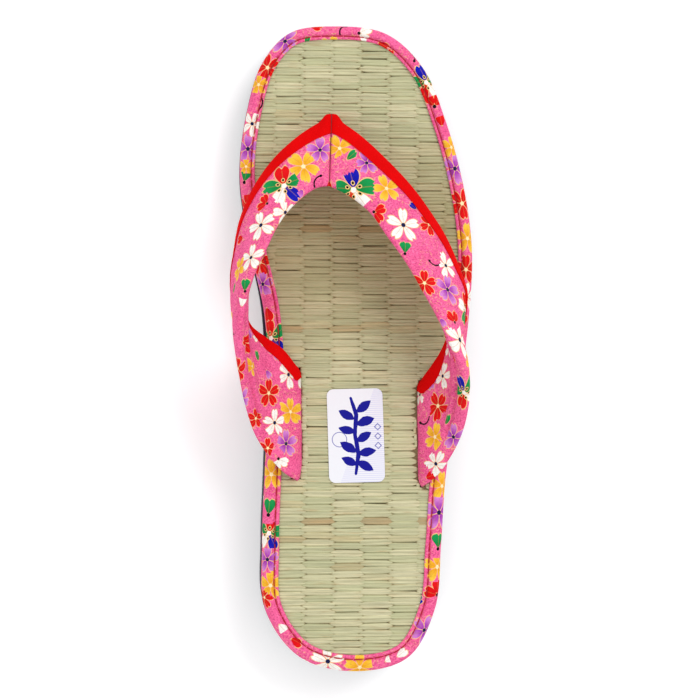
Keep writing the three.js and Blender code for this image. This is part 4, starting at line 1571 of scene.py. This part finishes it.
@dataclass
class Upper:
    """Both padded straps as one run from the inner slot through the V to the outer slot."""

    piping_slant: float = 0.62
    row_steps: int = 10
    seam_steps: int = 26
    side_steps: int = 42
    tuck: float = 0.5
    piping_wall: float = 0.42
    piping_steps: int = 14
    core_steps: int = 9
    core_gap: float = 0.02
    core_lift: float = 0.03
    hem: float = 0.12
    seam_pinch: float = 0.3
    seam_reach: float = 2.4
    nub_rise: float = 1.9
    nub_reach: float = 4.2
    nub_flat: float = 0.5
    furrow_depth: float = 1.35
    furrow_reach: float = 0.5
    # Unevenness of the stuffing: its rise, its size along and across, and its own layer of noise.
    lumps: tuple[tuple[float, ...], ...] = ((0.22, 8, 7, 3.7), (0.1, 2.6, 4.5, 9.1))
    thread_radius: float = 0.2
    thread_lift: float = 0.5

    def __post_init__(self) -> None:
        """Works out the run's sections."""
        inner = self._arm(INNER_STRAP)
        outer = {key: value[::-1] for key, value in self._arm(OUTER_STRAP).items()}
        joined = {key: np.concatenate([inner[key], outer[key][1:]]) for key in inner}
        self.p, self.q, self.thick = joined["p"], joined["q"], joined["thick"]
        self.band, self.row = joined["band"], joined["row"]
        self.seam = len(inner["p"]) - 1
        self.is_inner = np.arange(len(self.p)) <= self.seam
        middles = (self.p + self.q) / 2
        self.width = np.linalg.norm(self.q - self.p, axis=1)
        self.across = unit(self.q - self.p)
        self.normal = unit(np.cross(self.across, unit(np.gradient(middles, axis=0))))
        self.arc = travelled(middles)
        self.arc -= self.arc[self.seam]
        ahead = np.linalg.norm((self.p - self.p[self.seam])[:, :2], axis=1)
        self.nub = np.exp(-((ahead / self.nub_reach) ** 4))
        self.power = SLOT_POWER + (PILLOW_POWER - SLOT_POWER) * smoothstep(self.row, 0.8, 3.2)
        direct = np.linalg.norm(middles - middles[self.seam], axis=1)
        self.pinch = 1 - self.seam_pinch * np.exp(-((direct / self.seam_reach) ** 2))

    def _arm(self, rows: tuple[StrapRow, ...]) -> dict[str, Array]:
        """Sections of one strap from its slot to the seam."""
        table = [*rows, V_SEAM]
        last = len(table) - 1
        plain = np.linspace(0, last - 1, (last - 1) * self.row_steps, endpoint=False)
        near = last - (1 - np.linspace(0, 1, self.seam_steps + 1)) ** 1.6
        row = np.concatenate([plain, near])
        p = RowCurve([(r.px, r.py, footbed_height(r.py) + r.ph) for r in table]).at(row)
        q = RowCurve([(r.qx, r.qy, footbed_height(r.qy) + r.qh) for r in table]).at(row)
        thick = np.interp(row, range(last + 1), [r.thick for r in table])
        slant = np.linalg.norm(np.cross(unit(q - p), unit(np.gradient(p, axis=0))), axis=1)
        band = np.interp(row, range(last + 1), [r.band for r in table])
        band = band / np.maximum(slant, self.piping_slant)
        return {"p": p, "q": q, "thick": thick, "band": band, "row": row}

    def point(self, reach: Array, side: float, lift: float, nub: bool = False) -> Array:
        """Points on one face of the strap.

        Args:
            reach: Distance from the piped edge, for each section and stop.
            side: 1 for the top face, -1 for the foot's face.
            lift: How far the points stand off the padding.
            nub: Whether the front edge swells at the V, where the piping is folded.

        Returns:
            The points, as sections by stops by 3.
        """
        start = self.tuck - lift
        share = np.clip((reach - start) / (self.width[:, None] + lift - start), 0, 1)
        pillow = np.sqrt(np.clip(1 - np.abs(2 * share - 1) ** self.power[:, None], 0, 1))
        half = (self.thick[:, None] / 2 + lift) * pillow * self.pinch[:, None]
        half = half + self._relief(reach, side) * pillow
        out = reach.copy()
        if nub:
            out -= self.nub_rise * self.nub[:, None] * np.clip(1 - reach / self.band[:, None], 0, 1)
        points = (self.p[:, None] + self.across[:, None] * out[..., None]
                  + self.normal[:, None] * (side * half)[..., None])
        if nub:
            flat = self.p[self.seam, 1] + self.nub_flat
            points[..., 1] = flat - np.logaddexp(0, (flat - points[..., 1]) * 4) / 4
        return points

    def _relief(self, reach: Array, side: float) -> Array:
        """Creases, the V seam's furrow and the unevenness of the stuffing."""
        from_rear = self.width[:, None] - reach
        relief = np.zeros_like(reach)
        for arm, creases in ((self.is_inner, INNER_CREASES), (~self.is_inner, OUTER_CREASES)):
            for crease in creases:
                if crease.face.value != side:
                    continue
                low, high = crease.rows
                along = smoothstep(self.row, low, low + 1.2) * (1 - smoothstep(self.row, high - 1.5, high))
                trough = bell(from_rear, crease.from_rear, crease.reach)
                ridge = bell(from_rear, crease.from_rear + 2.2 * crease.reach, crease.reach)
                relief -= crease.depth * (along * arm)[:, None] * (trough - 0.35 * ridge)
        furrow = np.exp(-np.abs(self.arc) / self.furrow_reach)
        relief -= self.furrow_depth * furrow[:, None]
        for rise, along, across, layer in self.lumps:
            relief += rise * self._uneven(reach, along, across, side * layer)
        return relief

    def _uneven(self, reach: Array, along: float, across: float, layer: float) -> Array:
        """Noise over the strap's cloth, with the size of its lumps along and across."""
        return np.array([[noise.noise(Vector((arc / along, stop / across, layer)))
                          for stop in stops] for arc, stops in zip(self.arc, reach)])

    def _stops(self, start: Array, end: Array, count: int) -> Array:
        """Distances across the strap, closer together at both ends."""
        even = np.linspace(0, 1, count)
        share = 0.5 * even + 0.5 * (1 - np.cos(math.pi * even)) / 2
        return start[:, None] + (end - start)[:, None] * share[None]

    def padding(self) -> Piece:
        """Builds the straps' padded cloth."""
        start = np.full(len(self.p), self.tuck)
        reach = self._stops(start, self.width, self.side_steps)
        top = self.point(reach, Face.TOP.value, 0.0)
        foot = self.point(reach, Face.FOOT.value, 0.0)
        rings = np.concatenate([top, foot[:, -2::-1]], 1)
        steps = np.linalg.norm(np.diff(rings, axis=1), axis=2)
        across = np.concatenate([np.zeros((len(rings), 1)), np.cumsum(steps, 1)], 1)
        across -= across[:, self.side_steps - 1:self.side_steps]
        cloth = np.stack([np.broadcast_to(self.arc[:, None], across.shape), across], 2)
        ends = capped(rings)
        cloth = np.concatenate([cloth[:1], cloth, cloth[-1:]])
        return skin("padded_straps", ends, cloth)

    def piping(self) -> Piece:
        """Builds the red strip folded over the straps' front edge."""
        edge = np.full(len(self.p), self.tuck - self.piping_wall)
        outer = self._stops(edge, self.band, self.piping_steps)
        core = np.full(len(self.p), self.tuck + self.core_gap)
        inner = self._stops(core, self.band - self.hem, self.core_steps)
        skins = [self.point(outer[:, ::-1], Face.TOP.value, self.piping_wall, nub=True),
                 self.point(outer[:, 1:], Face.FOOT.value, self.piping_wall, nub=True),
                 self.point(inner[:, ::-1], Face.FOOT.value, self.core_lift, nub=True),
                 self.point(inner[:, 1:], Face.TOP.value, self.core_lift, nub=True)]
        return skin("red_piping", capped(wrapped(np.concatenate(skins, 1))))

    def seam_thread(self) -> Piece:
        """Builds the seam's thread, drawn down into the furrow of the V."""
        stops = np.linspace(-0.4, self.width[self.seam] - 0.8, 40)
        reach = np.tile(stops, (len(self.p), 1))
        path = self.point(reach, Face.TOP.value, self.thread_lift, nub=True)[self.seam]
        turn = np.linspace(0, math.tau, 8, endpoint=False)
        ring = np.outer(np.cos(turn), (1.0, 0.0, 0.0)) + np.outer(np.sin(turn), self.normal[self.seam])
        rings = path[:, None] + self.thread_radius * ring[None]
        return skin("seam_thread", capped(wrapped(rings)))

    def make(self) -> None:
        """Builds, prints, dresses and hands over the straps and their piping."""
        straps = self.padding()
        ClothPrinter(STRAP_PRINT, seed=21).run(straps)
        hand_over(straps, PrintFinish().material("strap_print"), "print_cloth", "hanao_strap")
        red = RedClothFinish().material()
        hand_over(self.piping(), red, "red_cloth", "strap_piping")
        # Partly painted shade: the seam thread is dyed near black, so that besides the real thread it
        # draws the shade down the V's furrow.
        thread = ThreadFinish("seam_thread_furrow_shade", (0.16, 0.003, 0.010)).material()
        hand_over(self.seam_thread(), thread, "red_cloth")
        Post().make(red)


@dataclass
class Post:
    """The toe post: a gathered print sleeve with the red strip folded down its front."""

    x: float = -10.0
    # Rows of height over the footbed, y, half width and half length.
    rows: tuple[tuple[float, float, float, float], ...] = (
        (-5.5, 82.4, 3.4, 5.2), (1.0, 82.4, 3.6, 5.4), (8.0, 82.4, 4.2, 5.6), (15.7, 82.5, 5.0, 5.9),
    )
    sides: int = 72
    rings: int = 30
    gathers: int = 11
    gather_depth: float = 0.035
    gather_lean: float = 0.12
    cloth_radius: float = 4.6
    cloth_length: float = 21.0
    fold_start: int = 6
    fold_arc: tuple[float, float] = (52.0, 128.0)
    lap_bearing: float = 84.0

    def _rows(self) -> Array:
        """The rows, blended into a smooth run."""
        curve = RowCurve(np.array(self.rows))
        return curve.at(np.linspace(0, curve.spans, self.rings))

    def _ring(self, row: Array, turn: Array, swell: float | Array,
              spread: float | Array) -> Array:
        """Points round the post at one row.

        Args:
            row: Height over the footbed, y, half width and half length.
            turn: Bearings of the points.
            swell: Factor on the half sizes.
            spread: What is added to the half sizes, in mm.

        Returns:
            The points, in mm.
        """
        height, y, half_wide, half_long = row
        level = np.full(len(turn), float(footbed_height(y)) + height)
        return np.stack([self.x + (half_wide * swell + spread) * np.cos(turn),
                         y + (half_long * swell + spread) * np.sin(turn), level], 1)

    def sleeve(self) -> Piece:
        """Builds the gathered sleeve."""
        turn = np.linspace(0, math.tau, self.sides, endpoint=False)
        rings = []
        for row in self._rows():
            gathered = self.gather_depth * (np.cos(self.gathers * turn + self.gather_lean * row[0]) - 1)
            rings.append(self._ring(row, turn, 1 + gathered, 0))
        rings = np.array(rings)
        along = np.linspace(0, self.cloth_length, self.rings)
        around = self.cloth_radius * np.append(turn, math.tau)
        cloth = np.stack(np.broadcast_arrays(along[:, None], around[None]), 2)
        cloth = np.concatenate([cloth[:1], cloth, cloth[-1:]])
        return skin("post_sleeve", capped(wrapped(rings)), cloth)

    def fold(self) -> Piece:
        """Builds the red strip that runs down the post's front in two laps."""
        spread = np.radians(np.linspace(*self.fold_arc, 25))
        lap = 0.55 + 0.25 * np.exp(-((np.degrees(spread) - self.lap_bearing) / 5) ** 2)
        rings = np.array([np.concatenate([self._ring(row, spread, 1, lap),
                                          self._ring(row, spread[::-1], 1, 0.05)])
                          for row in self._rows()[self.fold_start:]])
        return skin("post_fold", capped(wrapped(rings)))

    def make(self, red: Material) -> None:
        """Builds, prints, dresses and hands over the post."""
        sleeve = self.sleeve()
        ClothPrinter((), seed=3).run(sleeve)
        hand_over(sleeve, PrintFinish().material("post_print"), "print_cloth", "toe_post")
        hand_over(self.fold(), red, "red_cloth")


# ---- label


@dataclass
class Label:
    """The paper label on the heel of the footbed."""

    x: float = -0.3
    y: float = -33.9
    wide: float = 21.6
    long: float = 36.0
    corner: float = 2.6
    turn: float = 1.3
    lift: float = 0.18
    thick: float = 0.16

    def build(self) -> Piece:
        """Builds the label: a sheet with round corners that follows the footbed."""
        clear_selection()
        bpy.ops.mesh.primitive_plane_add(size=1.0)
        piece = name_new("paper_label")
        piece.scale = Vector((self.wide, self.long, 1.0))
        settle(piece)
        pick_up(piece)
        bpy.ops.object.mode_set(mode="EDIT")
        bpy.ops.mesh.select_all(action="SELECT")
        bpy.ops.mesh.bevel(offset=self.corner, segments=8, affect="VERTICES")
        for station in range(-15, 16, 3):
            bpy.ops.mesh.select_all(action="SELECT")
            bpy.ops.mesh.bisect(plane_co=(0, station, 0), plane_no=(0, 1, 0))
        bpy.ops.object.mode_set(mode="OBJECT")
        mesh = piece.data
        mesh.uv_layers[0].name = CLOTH_MAP
        for corner, data in zip(mesh.loops, mesh.uv_layers[0].data):
            data.uv = mesh.vertices[corner.vertex_index].co.xy
        mesh.transform(Matrix.Translation((self.x, self.y, 0)) @ Matrix.Rotation(
            math.radians(self.turn), 4, "Z"))
        for vertex in mesh.vertices:
            vertex.co.z = float(footbed_height(vertex.co.y)) + self.lift
        mesh.transform(Matrix.Scale(MM, 4))
        add_modifier(piece, "SOLIDIFY", thickness=self.thick * MM, offset=1.0)
        return piece

    def make(self) -> None:
        """Builds, dresses and hands over the label."""
        hand_over(self.build(), LabelFinish().material(), "label_paper")


# ---- studio


@dataclass
class Studio:
    """White floor, soft light and the camera over the sandal's inner side."""

    eye: tuple[float, float, float] = (-61.2, -0.6, 927.5)
    target: tuple[float, float, float] = (-1.1, -0.9, 27.5)
    field_mm: float = 271.0
    distance: float = 902.0

    def floor(self) -> None:
        """Lays the floor."""
        clear_selection()
        bpy.ops.mesh.primitive_plane_add(size=6.0, location=(0, 0, -0.0004))
        piece = name_new("floor")
        settle(piece)
        piece.data.materials.append(FloorFinish().material())

    def light(self, name: str, place: tuple[float, float, float], size: float, power: float) -> None:
        """Hangs a square lamp that looks at the sandal."""
        clear_selection()
        bpy.ops.object.light_add(type="AREA", location=place)
        lamp = bpy.context.active_object
        lamp.name = name
        lamp.data.size = size
        lamp.data.energy = power
        lamp.rotation_euler = (-Vector(place)).to_track_quat("-Z", "Y").to_euler()

    def world(self) -> None:
        """Makes the even white surround."""
        world = bpy.data.worlds.new("studio")
        bpy.context.scene.world = world
        world.use_nodes = True
        background = world.node_tree.nodes["Background"]
        background.inputs["Color"].default_value = (1.0, 1.0, 1.0, 1.0)
        background.inputs["Strength"].default_value = 0.86

    def camera(self) -> None:
        """Sets the camera, with the toe at the top of the picture."""
        clear_selection()
        bpy.ops.object.camera_add(location=Vector(self.eye) * MM)
        camera = bpy.context.active_object
        camera.name = "camera"
        look = (Vector(self.target) - Vector(self.eye)).normalized()
        right = look.cross(Vector((0, 1, 0))).normalized()
        up = right.cross(look)
        camera.rotation_euler = Matrix((right, up, -look)).transposed().to_euler()
        camera.data.sensor_width = 36.0
        camera.data.lens = 36.0 * self.distance / self.field_mm
        bpy.context.scene.camera = camera

    def make(self) -> None:
        """Builds the studio."""
        self.camera()
        self.world()
        self.floor()
        self.light("key", (0.7, 0.75, 1.35), 0.8, 11.0)
        self.light("fill", (-0.8, -0.5, 1.3), 1.4, 4.5)
        bpy.context.scene.view_settings.view_transform = "Standard"


def main() -> None:
    """Builds the sandal's looks."""
    logging.basicConfig(level=logging.INFO, format="%(name)s %(message)s")
    Studio().make()
    Sole().make()
    Footbed().make()
    Binding().make()
    Upper().make()
    Label().make()


if __name__ == "__main__":
    main()
